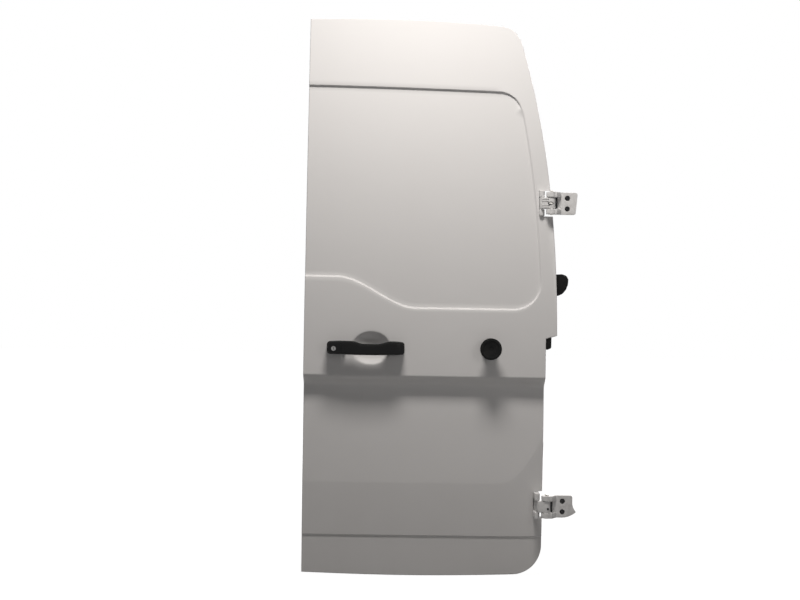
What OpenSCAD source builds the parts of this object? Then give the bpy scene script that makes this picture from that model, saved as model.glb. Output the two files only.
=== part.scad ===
// Rear barn door of a campervan: the right-hand leaf with its outer handle,
// hinged on its right edge. Seen from outside, +X is right and +Z is up.
// The pieces are drawn from the meeting edge (x) and the bottom edge (z) of the
// door, with the lower panel of the skin at y = 0 and the van's inside at +y.

/* [Outline] */
// Height of the door at the crown of its top edge
door_h = 1846; // [1700:2:2000]
// Width of the outer skin at the shoulder
door_w = 832; // [780:1:900]
// How far the side steps in below the shoulder
step_in = 37; // [20:1:50]
// Height of that step
step_z = 787; // [750:1:820]
// How far the side flares out again towards the bottom
low_flare = 4; // [0:1:12]
// Height at which the side starts to lean in
shoulder_z = 655; // [620:1:700]
// How far the side has leaned in at the top
roof_taper = 147; // [120:1:200]
// Fall of the top edge towards the hinge side
top_fall = 16; // [0:1:30]
// Sag of the bottom edge in its middle
bottom_sag = 6; // [0:1:12]
// Radius of the lower corner on the hinge side
bottom_r = 97; // [60:1:120]
// Radius of the upper corner on the hinge side
top_r = 55; // [40:1:90]

/* [Skin form] */
// Thickness of the pressed outer skin
skin_t = 1.6; // [1.2:0.1:2.5]
// Top of the belt ridge
belt_z = 663; // [640:1:700]
// Height of the slope under the belt ridge
belt_slope = 42; // [30:1:60]
// How far the belt ridge stands out from the lower panel
belt_out = 38; // [20:1:45]
// How far the skin leans in between belt and top edge
top_lean = 72; // [40:1:90]
// Sideways crown of the skin
crown = 10; // [4:1:20]
// Height of the crease in the lower panel
crease_z = 305; // [260:1:360]
// How far the skin turns under below the crease
crease_turn = 15; // [5:1:25]
// Height of the bottom swage line
sill_z = 129; // [110:1:170]
// Depth of the bottom swage line
sill_step = 3; // [1:0.5:6]
// Turn of the free edges
edge_curl = 3; // [1:0.5:5]

/* [Window field] */
// Depth of the blank window field
field_depth = 6.5; // [3:0.5:10]
// Width of its swage
swage_w = 8; // [5:1:14]
// Distance of the field from the hinge-side edge
field_margin = 48; // [40:1:60]
// Distance of the field's top line from the top of the door
field_drop = 236; // [190:1:340]
// Bottom line of the field on the hinge side
field_low = 887; // [860:1:940]
// Rise of the bottom line over the handle
field_rise = 100; // [60:1:130]
// Radius of the field's upper corner
field_r_top = 60; // [40:1:90]
// Radius of the field's lower corner
field_r_low = 85; // [50:1:110]

/* [Inner frame] */
// Thickness of the inner pressings
panel_t = 2; // [1.2:0.1:3]
// Width of the hemmed flange behind the skin's edge
hem_w = 34; // [28:1:38]
// Depth of the seal land behind the skin
land_depth = 20; // [16:1:26]
// Distance of the side walls from the edge
wall_inset = 58; // [52:1:66]
// Width of the inner flange
rail_w = 72; // [50:1:100]
// Depth of the inner flange behind the lower panel
frame_depth = 55; // [50:1:80]
// Extra depth of the inner flange at the top edge
frame_lean = 47; // [30:1:60]
// Free gap between lapped sheets
lap_gap = 0.7; // [0.4:0.1:1]

/* [Hinges] */
// Height of the lower hinge
lower_hinge_z = 238; // [220:1:260]
// Distance of the upper hinge from the top of the door
upper_hinge_drop = 612; // [560:1:660]
// Distance of the hinge axis from the edge of the skin at the shoulder
pin_inset = 27; // [18:1:34]
// How far the hinge axis stands in front of the lower panel
pin_out = 30; // [26:1:40]
// Diameter of the hinge pins
pin_d = 10; // [8:1:12]
// Outer radius of knuckles and ears
knuckle_r = 12; // [10:0.5:14]
// Height of the door leaf's knuckle
knuckle_h = 37; // [30:1:42]
// Height of the pillar leaves
leaf_h = 73; // [64:1:80]
// Free edge of the leaf plate from the hinge axis
leaf_reach = 86; // [78:1:96]
// Near edge of the leaf plate from the hinge axis
leaf_start = 21; // [19:1:26]
// Thickness of the leaf plate
leaf_t = 8; // [6:0.5:10]
// Distance of the mounting face from the hinge axis
leaf_set = 16; // [14:1:20]
// Bolt holes from the hinge axis
hole_reach = 53; // [45:1:58]
// Spacing of the two bolt holes
hole_spacing = 35; // [30:1:40]
// Diameter of the bolt holes
hole_d = 10.5; // [8.5:0.5:12.5]
// Diameter of the sinking for the bolt heads
sink_d = 17; // [15:0.5:20]
// Gap beside the knuckle and round the pin
knuckle_gap = 1; // [0.6:0.1:2]

/* [Handle] */
// Height of the handle's middle line
handle_z = 748; // [730:1:770]
// Left end of the handle
handle_x = 78; // [60:1:90]
// Length of the whole handle
handle_l = 252; // [240:1:280]
// Height of the handle at its two shoulders
handle_h = 44; // [38:1:48]
// How much lower its top edge lies between them, in front of the dish
grip_dip = 9; // [4:0.5:12]
// Length of the fixed end cap
cap_l = 46; // [40:1:60]
// How far the handle stands off the skin
handle_out = 46; // [38:1:56]
// Thickness of the grip
grip_t = 19; // [15:1:24]
// Width of the dish behind the grip
dish_w = 128; // [110:1:140]
// Height of the dish
dish_h = 108; // [90:1:116]
// Depth of the dish
dish_depth = 22; // [14:1:26]
// Centre of the dish from the meeting edge
dish_x = 221; // [200:1:230]

/* [Holder] */
// Centre of the door holder from the edge of the skin at the shoulder
holder_inset = 223; // [190:1:250]
// Height of the door holder
holder_z = 754; // [745:1:780]
// Diameter of the holder's buffer
holder_d = 71; // [60:1:80]
// How far the holder stands off the skin
holder_out = 50; // [40:1:60]

/* [Rubber parts] */
// Distance of the wiring boot's middle below the upper hinge
boot_drop = 268; // [240:1:300]
// Height of the wiring boot
boot_h = 68; // [56:1:76]
// How far the wiring boot looks past the skin
boot_out = 45; // [36:1:52]
// Middle of the edge buffer
buffer_z = 767; // [760:1:774]

/* [Hidden] */

paint = [0.93, 0.93, 0.93];
steel = [0.62, 0.64, 0.66];
black = [0.06, 0.06, 0.06];
rubber = [0.10, 0.10, 0.10];
cut = 400;
mitre = cos(45);
seat = 0.3;

// Outline and skin
taper_power = 2.52;
step_h = 13;
crown_x = 200;
top_crown_x = 220;
top_corner_z = door_h - top_fall;
belt_foot = belt_z - belt_slope;
belt_top = belt_z + 20;
sweep_w = 149;
sweep_ease = 115;
sweep_rise = 100;
sweep_limit = 130;
lower_bow = 3;

// Blank window field: its lower line falls over fall_w, from fall_x on
field_top = door_h - field_drop;
field_fall = 12;
field_corner_z = field_top - field_fall;
field_left_low = field_low + field_rise;
fall_x = 105;
fall_w = 262;

// Where the parts on the skin and on the hinge side sit
pin_x = door_w - pin_inset;
pin_y = -pin_out;
holder_x = door_w - holder_inset;
upper_hinge_z = door_h - upper_hinge_drop;
boot_z = upper_hinge_z - boot_drop;
mount_x = pin_x + hole_reach;
mount_y = pin_y + leaf_set;
release_x = 195;

// Openings
notch_x = pin_x - 39;
notch_h = leaf_h + 12;
pocket_end = pin_x - leaf_set - 7;
hem_start = 16;
waist_low = belt_z - 63;
waist_high = handle_z + 255;
waist_lap = 20;
hand_hole_z = [waist_low + 40, waist_low + 160];
hand_hole_r = 25;
lock_hole_z = [handle_z - 45, handle_z + 45];
lock_hole_r = 20;

// Hinges: the door leaf's base, leg and arm, and the lower pillar leaf's hook
leg_x = [pin_x - 37, pin_x - 27];
base_h = 60;
base_t = 7;
arm_t = 12;
arm_front = 3;
leaf_r = 7;
hook_run = 34;
hook_out = 11;
hook_low = 17;
hook_tip = 4;
hook_h = 27;
leaf_screws = [-20, 20];
screw_hole = 9;

// Handle and lock
handle_r = 8;
dip_w = 26;
grip_x = handle_x + cap_l + 0.8;
grip_end = handle_x + handle_l;
pivot_x = grip_end - 12;
pivot_d = 5;
lug_half = 5;
lock_x = handle_x + 22;
barrel_d = 16;
cap_hole = [handle_x + 8, handle_x + cap_l + 24];
pivot_hole = [pivot_x - 8, pivot_x + 9.5];
hole_half = 12;
carrier_half = 22;
carrier_deep = 24;
carrier_t = 3;
lock_plate_x = [handle_x + 2, grip_end + 4];
lock_plate_z = [handle_z - 40, handle_z + 34];
lock_window_x = [handle_x + 80, handle_x + 200];
lock_window_half = 20;
lock_window_r = 12;

// Beams behind the skin, latches, seal and buffers
beam_half = 40;
beam_foot = 20;
beam_top = 12;
beam_deep = 22;
bond = 0.8;
latch_x = wall_inset + panel_t + seat;
latch_w = 26;
latch_deep = 36;
latch_h = 84;
central_latch_z = handle_z + 105;
top_latch_z = door_h - 206;
bottom_latch_z = bottom_r + 83;
seal_x = [14, 28];
seal_t = 9;
slam_inset = 100;
slam_d = 22;
boot_deep = 24;
boot_flange = 5;

// Plain helpers
function mix(a, b, w) = a + (b - a) * w;
function ramp(t) = let (c = min(1, max(0, t))) c * c * (3 - 2 * c);
// How far a corner of radius r has cut in at distance s from its tangent line
function corner_cut(s, r) = s < r ? r - sqrt(max(0, r * r - (r - s) * (r - s))) : 0;

// Outline of the skin
function side_x(z) = door_w - step_in * (1 - ramp((z - step_z) / step_h))
    + low_flare * max(0, 1 - z / belt_foot)
    - (z > shoulder_z ? roof_taper * pow((z - shoulder_z) / (door_h - shoulder_z), taper_power) : 0);
function edge_x(z) = side_x(z) - corner_cut(max(0, z), bottom_r)
    - corner_cut(max(0, top_corner_z - z), top_r);
low_side = side_x(bottom_r);
hand_hole = [0.413 * low_side, 0.651 * low_side];
lock_hole = [0.225 * low_side, 0.363 * low_side];
top_side = side_x(top_corner_z - top_r * (1 - mitre));
function bottom_z(x) = x < low_side - bottom_r
    ? -bottom_sag * sin(180 * max(0, x) / (low_side - bottom_r))
    : corner_cut(max(0, low_side - x), bottom_r);
function top_z(x) = door_h - top_fall * pow((x - top_crown_x) / (top_side - top_r - top_crown_x), 2);

// Points on an arc round x, z
function arc(x, z, r, a, b) = [for (w = [0:0.25:1])
    [x + r * cos(mix(a, b, w)), z + r * sin(mix(a, b, w))]];

// Outline of the blank window field: ease is 0 on its inner line and swage_w on its outer one
function field_side(z, ease) = side_x(z) - field_margin - swage_w + ease
    - corner_cut(max(0, z - field_low + ease), field_r_low + ease)
    - corner_cut(max(0, field_corner_z - z + ease), field_r_top + ease);
field_right_low = side_x(field_low + field_r_low) - field_margin - swage_w;
field_right_top = side_x(field_corner_z - field_r_top * (1 - mitre)) - field_margin - swage_w;
function field_bottom(x, ease) = field_low - ease
    + field_rise * (1 - ramp((x - fall_x) / fall_w))
    + corner_cut(max(0, field_right_low + ease - x), field_r_low + ease);
function field_head(x, ease) = field_top + ease - field_fall * pow(max(0, x) / field_right_top, 1.4)
    - corner_cut(max(0, field_right_top + ease - x), field_r_top + ease);
function field_depth_at(x, z) = field_depth
    * ramp((z - field_bottom(x, swage_w)) / swage_w)
    * ramp((field_head(x, swage_w) - z) / swage_w)
    * ramp((field_side(z, swage_w) - x) / swage_w);

// Side view of the skin, negative in front of the lower panel: the crease sweeps up
// towards the hinge side
function crease_at(x) = crease_z + sweep_rise * pow(max(0, x - low_side + sweep_w) / sweep_ease, 2);
function lower_y(x, z) = z < crease_at(x)
    ? crease_turn * (crease_at(x) - z) / crease_z - (z > sill_z ? sill_step : 0)
    : -sill_step - lower_bow * sin(90 * min(1, (z - crease_at(x)) / (belt_foot - crease_z)));
function upper_y(z) = -belt_out + top_lean * pow(max(0, z - belt_top) / (door_h - belt_top), 2);
function body_y(x, z) = mix(lower_y(x, z), upper_y(z), ramp((z - belt_foot) / belt_slope))
    + crown * pow((x - crown_x) / (door_w - crown_x), 2);
function skin_y(x, z) = body_y(x, z) + field_depth_at(x, z);
// Inner face of the frame
function back_y(z) = frame_depth + frame_lean * pow(max(0, z - belt_top) / (door_h - belt_top), 2);

// Skin mesh: rows run from the meeting edge to the hinge side, and their columns
// follow the side of the window field and the door's own edge
n_field = 13;
edge_steps = [0, 0.34, 0.6, 0.82, 1];
function row_x(inner, outer, side) = concat(
    [for (i = [0:n_field]) inner * i / n_field],
    [for (s = edge_steps) mix(outer, side, s)]);
function plain_row(z) = let (side = edge_x(z))
    [for (x = row_x(side - field_margin - swage_w, side - field_margin, side)) [x, z]];
bottom_end = low_side - bottom_r * (1 - mitre);
bottom_row = [for (x = row_x(bottom_end - field_margin - swage_w, bottom_end - field_margin, bottom_end))
    [x, bottom_z(x)]];
crease_row = [for (p = plain_row(crease_z)) [p[0], min(crease_at(p[0]), crease_z + sweep_limit)]];

// Where the diagonal of a field corner meets its inner and outer lines
function low_corner_x(ease) = field_right_low + ease - (field_r_low + ease) * (1 - mitre);
function low_corner_z(ease) = field_low - ease + (field_r_low + ease) * (1 - mitre);
function top_corner_x(ease) = field_right_top + ease - (field_r_top + ease) * (1 - mitre);
function top_corner_line(ease) = field_corner_z + ease - (field_r_top + ease) * (1 - mitre);
corner_slip = 0.7 * swage_w;

side_low = field_low - 10;
side_high = field_corner_z + 40;
field_low_row = let (xo = low_corner_x(swage_w), xs = row_x(xo - corner_slip, xo, edge_x(side_low)))
    [for (j = [0:len(xs) - 1]) j <= n_field + 1
        ? [xs[j], field_bottom(xs[j], swage_w)]
        : [xs[j], mix(low_corner_z(swage_w), side_low, edge_steps[j - n_field - 1])]];
field_top_row = let (xo = top_corner_x(swage_w), xs = row_x(xo - corner_slip, xo, edge_x(side_high)))
    [for (j = [0:len(xs) - 1]) j <= n_field + 1
        ? [xs[j], field_head(xs[j], swage_w)]
        : [xs[j], mix(top_corner_line(swage_w), side_high, edge_steps[j - n_field - 1])]];
function field_row(w) = let (
    z1 = mix(low_corner_z(0), top_corner_line(0), w),
    z2 = mix(low_corner_z(swage_w) + corner_slip, top_corner_line(swage_w) - corner_slip, w),
    z3 = mix(side_low + 10, side_high - 10, w),
    xs = row_x(field_side(z1, 0), field_side(z2, swage_w), edge_x(z3)))
    [for (j = [0:len(xs) - 1]) j <= n_field
        ? [xs[j], mix(field_bottom(low_corner_x(0) * j / n_field, 0),
            field_head(top_corner_x(0) * j / n_field, 0), w)]
        : [xs[j], mix(z2, z3, edge_steps[j - n_field - 1])]];
top_end = top_side - top_r * (1 - mitre);
top_row = [for (x = row_x(top_end - field_margin - swage_w, top_end - field_margin, top_end))
    [x, top_z(x) - corner_cut(max(0, top_side - x), top_r)]];

// Rows between two key rows, with their last column put back on the door's edge
function between(a, b, w) = let (n = len(a) - 1, side = edge_x(mix(a[n][1], b[n][1], w)))
    [for (j = [0:n]) let (p = mix(a[j], b[j], w), s = max(0, j - n_field) / (n - n_field))
        [p[0] + s * (side - mix(a[n][0], b[n][0], w)), p[1]]];
belt_steps = [-34, -6, 8, 16, 24, 32, belt_slope];
over_belt = belt_top + 24;
belt_rows = [for (up = concat(belt_steps, over_belt - belt_foot)) plain_row(belt_foot + up)];
step_heights = [step_z - 2, step_z + 4, step_z + 9, step_z + step_h + 1];
step_w = [for (z = step_heights) (z - over_belt) / (side_low - over_belt)];
skin_rows = concat(
    [for (w = [0, 0.1, 0.3, 0.55, 0.8]) between(bottom_row, plain_row(sill_z - 2), w)],
    [plain_row(sill_z - 2), plain_row(sill_z + 1)],
    [for (w = [0.33, 0.66]) between(plain_row(sill_z + 1), crease_row, w)],
    [crease_row],
    [for (w = [0.25, 0.5, 0.75]) between(crease_row, belt_rows[0], w)],
    belt_rows,
    [for (w = step_w) between(belt_rows[7], field_low_row, w)],
    [field_low_row],
    [for (w = [0:1 / 12:1.001]) field_row(w)],
    [field_top_row],
    [for (w = [0.25, 0.5, 0.75, 0.94, 1]) between(field_top_row, top_row, w)]);
n_row = len(skin_rows);
n_col = len(skin_rows[0]);
function curl_at(i, j) = i == 0 || i == n_row - 1 || j == n_col - 1 ? edge_curl : 0;

// A sheet over a grid of rows: front points, then back points, walls round the edge
module sheet(front, back) {
    rows = len(front);
    cols = len(front[0]);
    all = rows * cols;
    points = concat([for (r = front) each r], [for (r = back) each r]);
    function at(i, j) = i * cols + j;
    faces = concat(
        [for (i = [0:rows - 2]) for (j = [0:cols - 2]) each
            [[at(i, j), at(i + 1, j), at(i + 1, j + 1)], [at(i, j), at(i + 1, j + 1), at(i, j + 1)]]],
        [for (i = [0:rows - 2]) for (j = [0:cols - 2]) each
            [[all + at(i, j), all + at(i + 1, j + 1), all + at(i + 1, j)],
             [all + at(i, j), all + at(i, j + 1), all + at(i + 1, j + 1)]]],
        [for (i = [0:rows - 2]) each
            [[at(i, 0), all + at(i, 0), all + at(i + 1, 0)], [at(i, 0), all + at(i + 1, 0), at(i + 1, 0)],
             [at(i, cols - 1), all + at(i + 1, cols - 1), all + at(i, cols - 1)],
             [at(i, cols - 1), at(i + 1, cols - 1), all + at(i + 1, cols - 1)]]],
        [for (j = [0:cols - 2]) each
            [[at(0, j), all + at(0, j + 1), all + at(0, j)], [at(0, j), at(0, j + 1), all + at(0, j + 1)],
             [at(rows - 1, j), all + at(rows - 1, j), all + at(rows - 1, j + 1)],
             [at(rows - 1, j), all + at(rows - 1, j + 1), at(rows - 1, j + 1)]]]);
    polyhedron(points, faces, convexity = 10);
}

// The whole door is drawn from its own corner and set down on the lower leaf's mounting face
module from_mount() {
    translate([-mount_x, -mount_y, -lower_hinge_z]) children();
}

// A box given by its two ends on each axis
module block(x, y, z) {
    translate([x[0], y[0], z[0]]) cube([x[1] - x[0], y[1] - y[0], z[1] - z[0]]);
}

// A plate with rounded corners that stands in the X-Z plane
module plate(x, y, z, r) {
    translate([0, y[1], 0]) rotate([90, 0, 0]) linear_extrude(y[1] - y[0])
        union() {
            translate([x[0] + r, z[0]]) square([x[1] - x[0] - 2 * r, z[1] - z[0]]);
            translate([x[0], z[0] + r]) square([x[1] - x[0], z[1] - z[0] - 2 * r]);
            for (cx = [x[0] + r, x[1] - r]) for (cz = [z[0] + r, z[1] - r])
                translate([cx, cz]) circle(r, $fn = 32);
        }
}

// Openings that both the skin and the frame leave for a hinge
module notch(z, x) {
    block([x, door_w + 20], [-cut, cut / 2], [z - notch_h / 2, z + notch_h / 2]);
}

// The frame is cut back to its side wall behind the skin's notch
module notch_in_frame(z) {
    y = body_y(notch_x, z);
    block([notch_x - 4, door_w + 20], [y - 20, y + skin_t + land_depth + panel_t + 2],
        [z - notch_h / 2, z + notch_h / 2]);
}

handle_y = skin_y(dish_x, handle_z);
carrier_y = handle_y + skin_t + bond;

module dish_outline() {
    translate([dish_x, 0, handle_z + 1]) rotate([-90, 0, 0])
        scale([dish_w / dish_h, 1, 1]) children();
}

module outer_skin() {
    color(paint) from_mount() difference() {
        union() {
            difference() {
                sheet([for (i = [0:n_row - 1]) [for (j = [0:n_col - 1]) let (p = skin_rows[i][j])
                        [p[0], skin_y(p[0], p[1]) + curl_at(i, j), p[1]]]],
                    [for (i = [0:n_row - 1]) [for (j = [0:n_col - 1]) let (p = skin_rows[i][j])
                        [p[0], skin_y(p[0], p[1]) + curl_at(i, j) + skin_t, p[1]]]]);
                translate([0, -cut / 2, 0]) dish_outline() cylinder(cut, d = dish_h - 1, $fn = 64);
            }
            translate([0, handle_y, 0]) dish_outline() dish_bowl();
        }
        notch(upper_hinge_z, notch_x);
        notch(lower_hinge_z, notch_x);
        for (hole = [cap_hole, pivot_hole])
            block(hole, [-cut, handle_y + 10], [handle_z - hole_half, handle_z + hole_half]);
    }
}

// Bowl of the dish, turned about its own axis: a shell of the skin's thickness
module dish_bowl() {
    bowl_r = dish_h / 2;
    ball_r = (bowl_r * bowl_r + dish_depth * dish_depth) / (2 * dish_depth);
    span = asin(bowl_r / ball_r);
    steps = 6;
    function arc(r, k) = [r * sin(span * k / steps), dish_depth - ball_r + r * cos(span * k / steps)];
    rotate_extrude($fn = 64) polygon(concat(
        [for (k = [0:steps]) arc(ball_r, k)],
        [[bowl_r, skin_t]],
        [for (k = [steps - 1:-1:0]) arc(ball_r + skin_t, k)]));
}

// Closed outline of the door, inset by d, as points [x, z] that run anticlockwise
function spread(a, b, n) = [for (k = [0:n - 1]) mix(a, b, k / n)];
side_heights = concat(
    spread(bottom_r + 53, crease_z, 4),
    spread(crease_z, belt_foot + belt_steps[0], 4),
    [for (up = concat(belt_steps, belt_top - belt_foot)) belt_foot + up],
    spread(belt_top + 30, step_z - 2, 2),
    step_heights,
    spread(step_z + step_h + 30, field_left_low - swage_w, 6),
    [field_left_low - swage_w],
    spread(field_left_low, field_top, 9),
    [field_top, field_top + swage_w, mix(field_top, door_h - top_fall - top_r, 0.36)]);
arc_steps = 6;
function outline(d) = let (
    rb = max(bottom_r - d, 15),
    rt = max(top_r - d, 15),
    bx = low_side - d - rb,
    tz = top_corner_z - d - rt,
    tx = side_x(tz + rt * mitre) - d - rt)
    concat(
        [for (k = [0:5]) let (x = mix(d, bx, k / 5)) [x, bottom_z(min(x, low_side - bottom_r)) + d]],
        [for (k = [1:arc_steps]) let (a = -90 + 90 * k / arc_steps) [bx + rb * cos(a), d + rb + rb * sin(a)]],
        [for (f = [0, 1]) let (z = max(sill_z - 2 + 3 * f, mix(d + rb, side_heights[0], 0.3 + 0.3 * f)))
            [side_x(z) - d, z]],
        [for (z = side_heights) [side_x(z) - d, z]],
        [for (k = [0:arc_steps]) let (a = 90 * k / arc_steps)
            [side_x(tz + rt * sin(a)) - d - rt + rt * cos(a), tz + rt * sin(a)]],
        [for (k = [1:6]) let (x = mix(tx, d, k / 6)) [x, top_z(x) - d]],
        [for (k = [len(side_heights) - 1:-1:0]) [d, side_heights[k]]],
        [for (f = [1, 0]) [d, max(sill_z - 2 + 3 * f, mix(d, side_heights[0], 0.3 + 0.3 * f))]]);

// A pressed section carried round the door's outline: each point is
// [inset, face that its depth is measured from, depth]
module round_frame(section) {
    n = len(section);
    loops = [for (s = section) let (line = outline(s[0]))
        [for (p = line) [p[0], s[2] + (s[1] == "skin" ? skin_y(p[0], p[1]) + skin_t
            : s[1] == "land" ? body_y(p[0], p[1]) + skin_t : back_y(p[1])), p[1]]]];
    m = len(loops[0]);
    faces = [for (k = [0:n - 1]) for (i = [0:m - 1]) let (
        a = k * m + i, b = k * m + (i + 1) % m,
        c = ((k + 1) % n) * m + (i + 1) % m, e = ((k + 1) % n) * m + i)
        each [[a, c, b], [a, e, c]]];
    polyhedron([for (l = loops) each l], faces, convexity = 10);
}

module inner_frame() {
    rail = wall_inset + panel_t + rail_w;
    color(paint) from_mount() difference() {
        round_frame([[hem_start, "skin", lap_gap], [hem_w + panel_t, "skin", lap_gap],
            [hem_w + panel_t, "land", land_depth], [wall_inset + panel_t, "land", land_depth],
            [wall_inset + panel_t, "back", -panel_t], [rail, "back", -panel_t],
            [rail, "back", 0], [wall_inset, "back", 0],
            [wall_inset, "land", land_depth + panel_t], [hem_w, "land", land_depth + panel_t],
            [hem_w, "skin", lap_gap + panel_t], [hem_start, "skin", lap_gap + panel_t]]);
        for (z = [upper_hinge_z, lower_hinge_z]) notch_in_frame(z);
        for (z = [central_latch_z, top_latch_z, bottom_latch_z]) latch_slot(z);
    }
}

// Waist panel between the two side rails, behind handle and holder
module waist_panel() {
    lap = wall_inset + panel_t + rail_w - waist_lap;
    heights = concat([waist_low, belt_z], spread(mix(belt_top, waist_high, 0.18), waist_high, 4),
        [waist_high]);
    function waist_face(y) = [for (z = heights) [for (w = [0:1 / 6:1.001])
        [mix(lap, side_x(waist_low) - lap, w), back_y(z) - lap_gap - y, z]]];
    color(paint) from_mount() difference() {
        sheet(waist_face(2 * panel_t), waist_face(panel_t));
        plate(hand_hole, [0, cut], hand_hole_z, hand_hole_r);
        plate(lock_hole, [0, cut], lock_hole_z, lock_hole_r);
    }
}

// Hat-shaped beam that is bonded behind the skin and spans from wall to wall
module skin_beam(z) {
    x0 = wall_inset + panel_t + seat;
    x1 = side_x(z + beam_half) - wall_inset - panel_t - 2;
    section = [[-beam_half, 0], [-beam_foot, 0], [-beam_top, 1],
        [beam_top, 1], [beam_foot, 0], [beam_half, 0]];
    function beam_face(y) = [for (q = section) [for (w = [0:0.1:1.001]) let (x = mix(x0, x1, w))
        [x, skin_y(x, z + q[0]) + skin_t + bond + beam_deep * q[1] + y, z + q[0]]]];
    color(paint) from_mount() sheet(beam_face(0), beam_face(panel_t));
}
module upper_skin_stiffener() { skin_beam(mix(field_low, field_top, 0.6)); }
module lower_skin_stiffener() { skin_beam(mix(crease_z, belt_z, 0.38)); }

// Outer face of the side wall at a hinge, and its slope
function wall_x(z) = side_x(z) - wall_inset;
function wall_slope(z) = atan((wall_x(z + leaf_h / 2) - wall_x(z - leaf_h / 2)) / leaf_h);
module hinge_reinforcement(z) {
    y0 = body_y(wall_x(z), z) + skin_t + land_depth + 2;
    color(paint) from_mount() translate([wall_x(z) - panel_t - 0.8, 0, z]) rotate([0, wall_slope(z), 0])
        difference() {
            block([-3, 0], [y0, back_y(z) - panel_t - 4], [-50, 50]);
            for (s = leaf_screws) translate([1, (y0 + back_y(z)) / 2, s]) rotate([0, -90, 0])
                cylinder(6, d = screw_hole, $fn = 24);
        }
}
// Pressed pocket that closes the notch behind the leg of the door leaf
module hinge_pocket(z) {
    floor_y = body_y(leg_x[0], z) + skin_t + land_depth;
    x = [notch_x - 3.6, pocket_end];
    h = notch_h / 2 - 0.4;
    color(paint) from_mount() difference() {
        union() {
            block(x, [floor_y, floor_y + panel_t], [z - h, z + h]);
            for (low = [z - h, z + h - panel_t])
                block(x, [body_y(pocket_end, low) + skin_t + 0.8, floor_y + panel_t], [low, low + panel_t]);
        }
        block([leg_x[0] - 1, pocket_end + 1], [-cut, cut], [z - knuckle_h / 2 - 1, z + knuckle_h / 2 + 1]);
    }
}
module upper_hinge_pocket() { hinge_pocket(upper_hinge_z); }
module lower_hinge_pocket() { hinge_pocket(lower_hinge_z); }
module upper_hinge_reinforcement() { hinge_reinforcement(upper_hinge_z); }
module lower_hinge_reinforcement() { hinge_reinforcement(lower_hinge_z); }

// Door leaf: base on the side wall, web under the skin's edge, leg through the notch,
// arm across to the knuckle on the hinge axis
module door_leaf(z) {
    wall = wall_x(z);
    web = body_y(leg_x[0], z) + skin_t + land_depth + panel_t + 3;
    base_end = back_y(z) - 4;
    color(paint) from_mount() difference() {
        union() {
            translate([wall + seat, 0, z]) rotate([0, wall_slope(z), 0])
                block([0, base_t], [web + 1, base_end], [-base_h / 2, base_h / 2]);
            block([wall + seat + base_t / 2, leg_x[1]], [web, web + arm_t],
                [z - knuckle_h / 2, z + knuckle_h / 2]);
            block(leg_x, [pin_y - arm_front, web + arm_t], [z - knuckle_h / 2, z + knuckle_h / 2]);
            block([leg_x[0], pin_x], [pin_y - arm_front, pin_y - arm_front + arm_t],
                [z - knuckle_h / 2, z + knuckle_h / 2]);
            translate([pin_x, pin_y, z - knuckle_h / 2]) cylinder(knuckle_h, r = knuckle_r, $fn = 48);
        }
        translate([pin_x, pin_y, z - leaf_h]) cylinder(2 * leaf_h, d = pin_d + 0.4, $fn = 32);
        for (s = leaf_screws) translate([wall - 10, (web + arm_t + base_end) / 2, z + s]) rotate([0, 90, 0])
            cylinder(30, d = screw_hole, $fn = 24);
    }
}
module upper_door_leaf() { door_leaf(upper_hinge_z); }
module lower_door_leaf() { door_leaf(lower_hinge_z); }

// Pillar leaf: plate with two sunk bolt holes, and an ear above and below the knuckle
leaf_top = arc(leaf_reach - leaf_r, leaf_h / 2 - leaf_r, leaf_r, 0, 90);
module pillar_leaf(z, foot) {
    face = pin_y + leaf_set;
    ear = (leaf_h - knuckle_h) / 2 - knuckle_gap;
    color(paint) from_mount() difference() {
        union() {
            translate([pin_x, face, z]) rotate([90, 0, 0]) linear_extrude(leaf_t)
                polygon(concat([[leaf_start, leaf_h / 2], [leaf_start, -leaf_h / 2]], foot, leaf_top));
            for (low = [z - leaf_h / 2, z + leaf_h / 2 - ear]) {
                translate([pin_x, pin_y, low]) cylinder(ear, r = knuckle_r, $fn = 48);
                translate([0, 0, low]) linear_extrude(ear) polygon([
                    [pin_x, pin_y - knuckle_r], [pin_x + knuckle_r + 4, pin_y - knuckle_r],
                    [pin_x + leaf_start + 12, face - leaf_t], [pin_x + leaf_start + 12, face - 1],
                    [pin_x + leaf_start - 4, face - 1], [pin_x, pin_y + knuckle_r]]);
            }
        }
        translate([pin_x, pin_y, z - leaf_h]) cylinder(2 * leaf_h, d = pin_d + 0.2, $fn = 32);
        for (s = [-1, 1]) translate([pin_x + hole_reach, face, z + s * hole_spacing / 2]) rotate([90, 0, 0]) {
            translate([0, 0, -1]) cylinder(leaf_t + 2, d = hole_d, $fn = 32);
            translate([0, 0, leaf_t / 2]) cylinder(leaf_t, d = sink_d, $fn = 32);
        }
    }
}
// The upper leaf narrows a little downwards, the lower one runs out into a hook
module upper_pillar_leaf() {
    pillar_leaf(upper_hinge_z, arc(leaf_reach - leaf_r - 5, leaf_r - leaf_h / 2, leaf_r, -90, 0));
}
module lower_pillar_leaf() {
    low = -leaf_h / 2;
    tip = low + hook_low;
    pillar_leaf(lower_hinge_z, concat(
        [for (w = [0:0.2:1]) [leaf_reach - hook_run + (hook_run + hook_out) * w, low + hook_low * w * w]],
        [for (w = [0:0.2:1]) [leaf_reach + hook_out * (1 - w) * (1 - w), tip + hook_tip + hook_h * w]]));
}

module hinge_pin(z) {
    color(steel) from_mount() translate([pin_x, pin_y, z - leaf_h / 2 - 2]) {
        cylinder(leaf_h + 4, d = pin_d, $fn = 32);
        translate([0, 0, leaf_h + 2.1]) cylinder(3, d = pin_d + 5, $fn = 32);
    }
}
module upper_hinge_pin() { hinge_pin(upper_hinge_z); }
module lower_hinge_pin() { hinge_pin(lower_hinge_z); }

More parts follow.
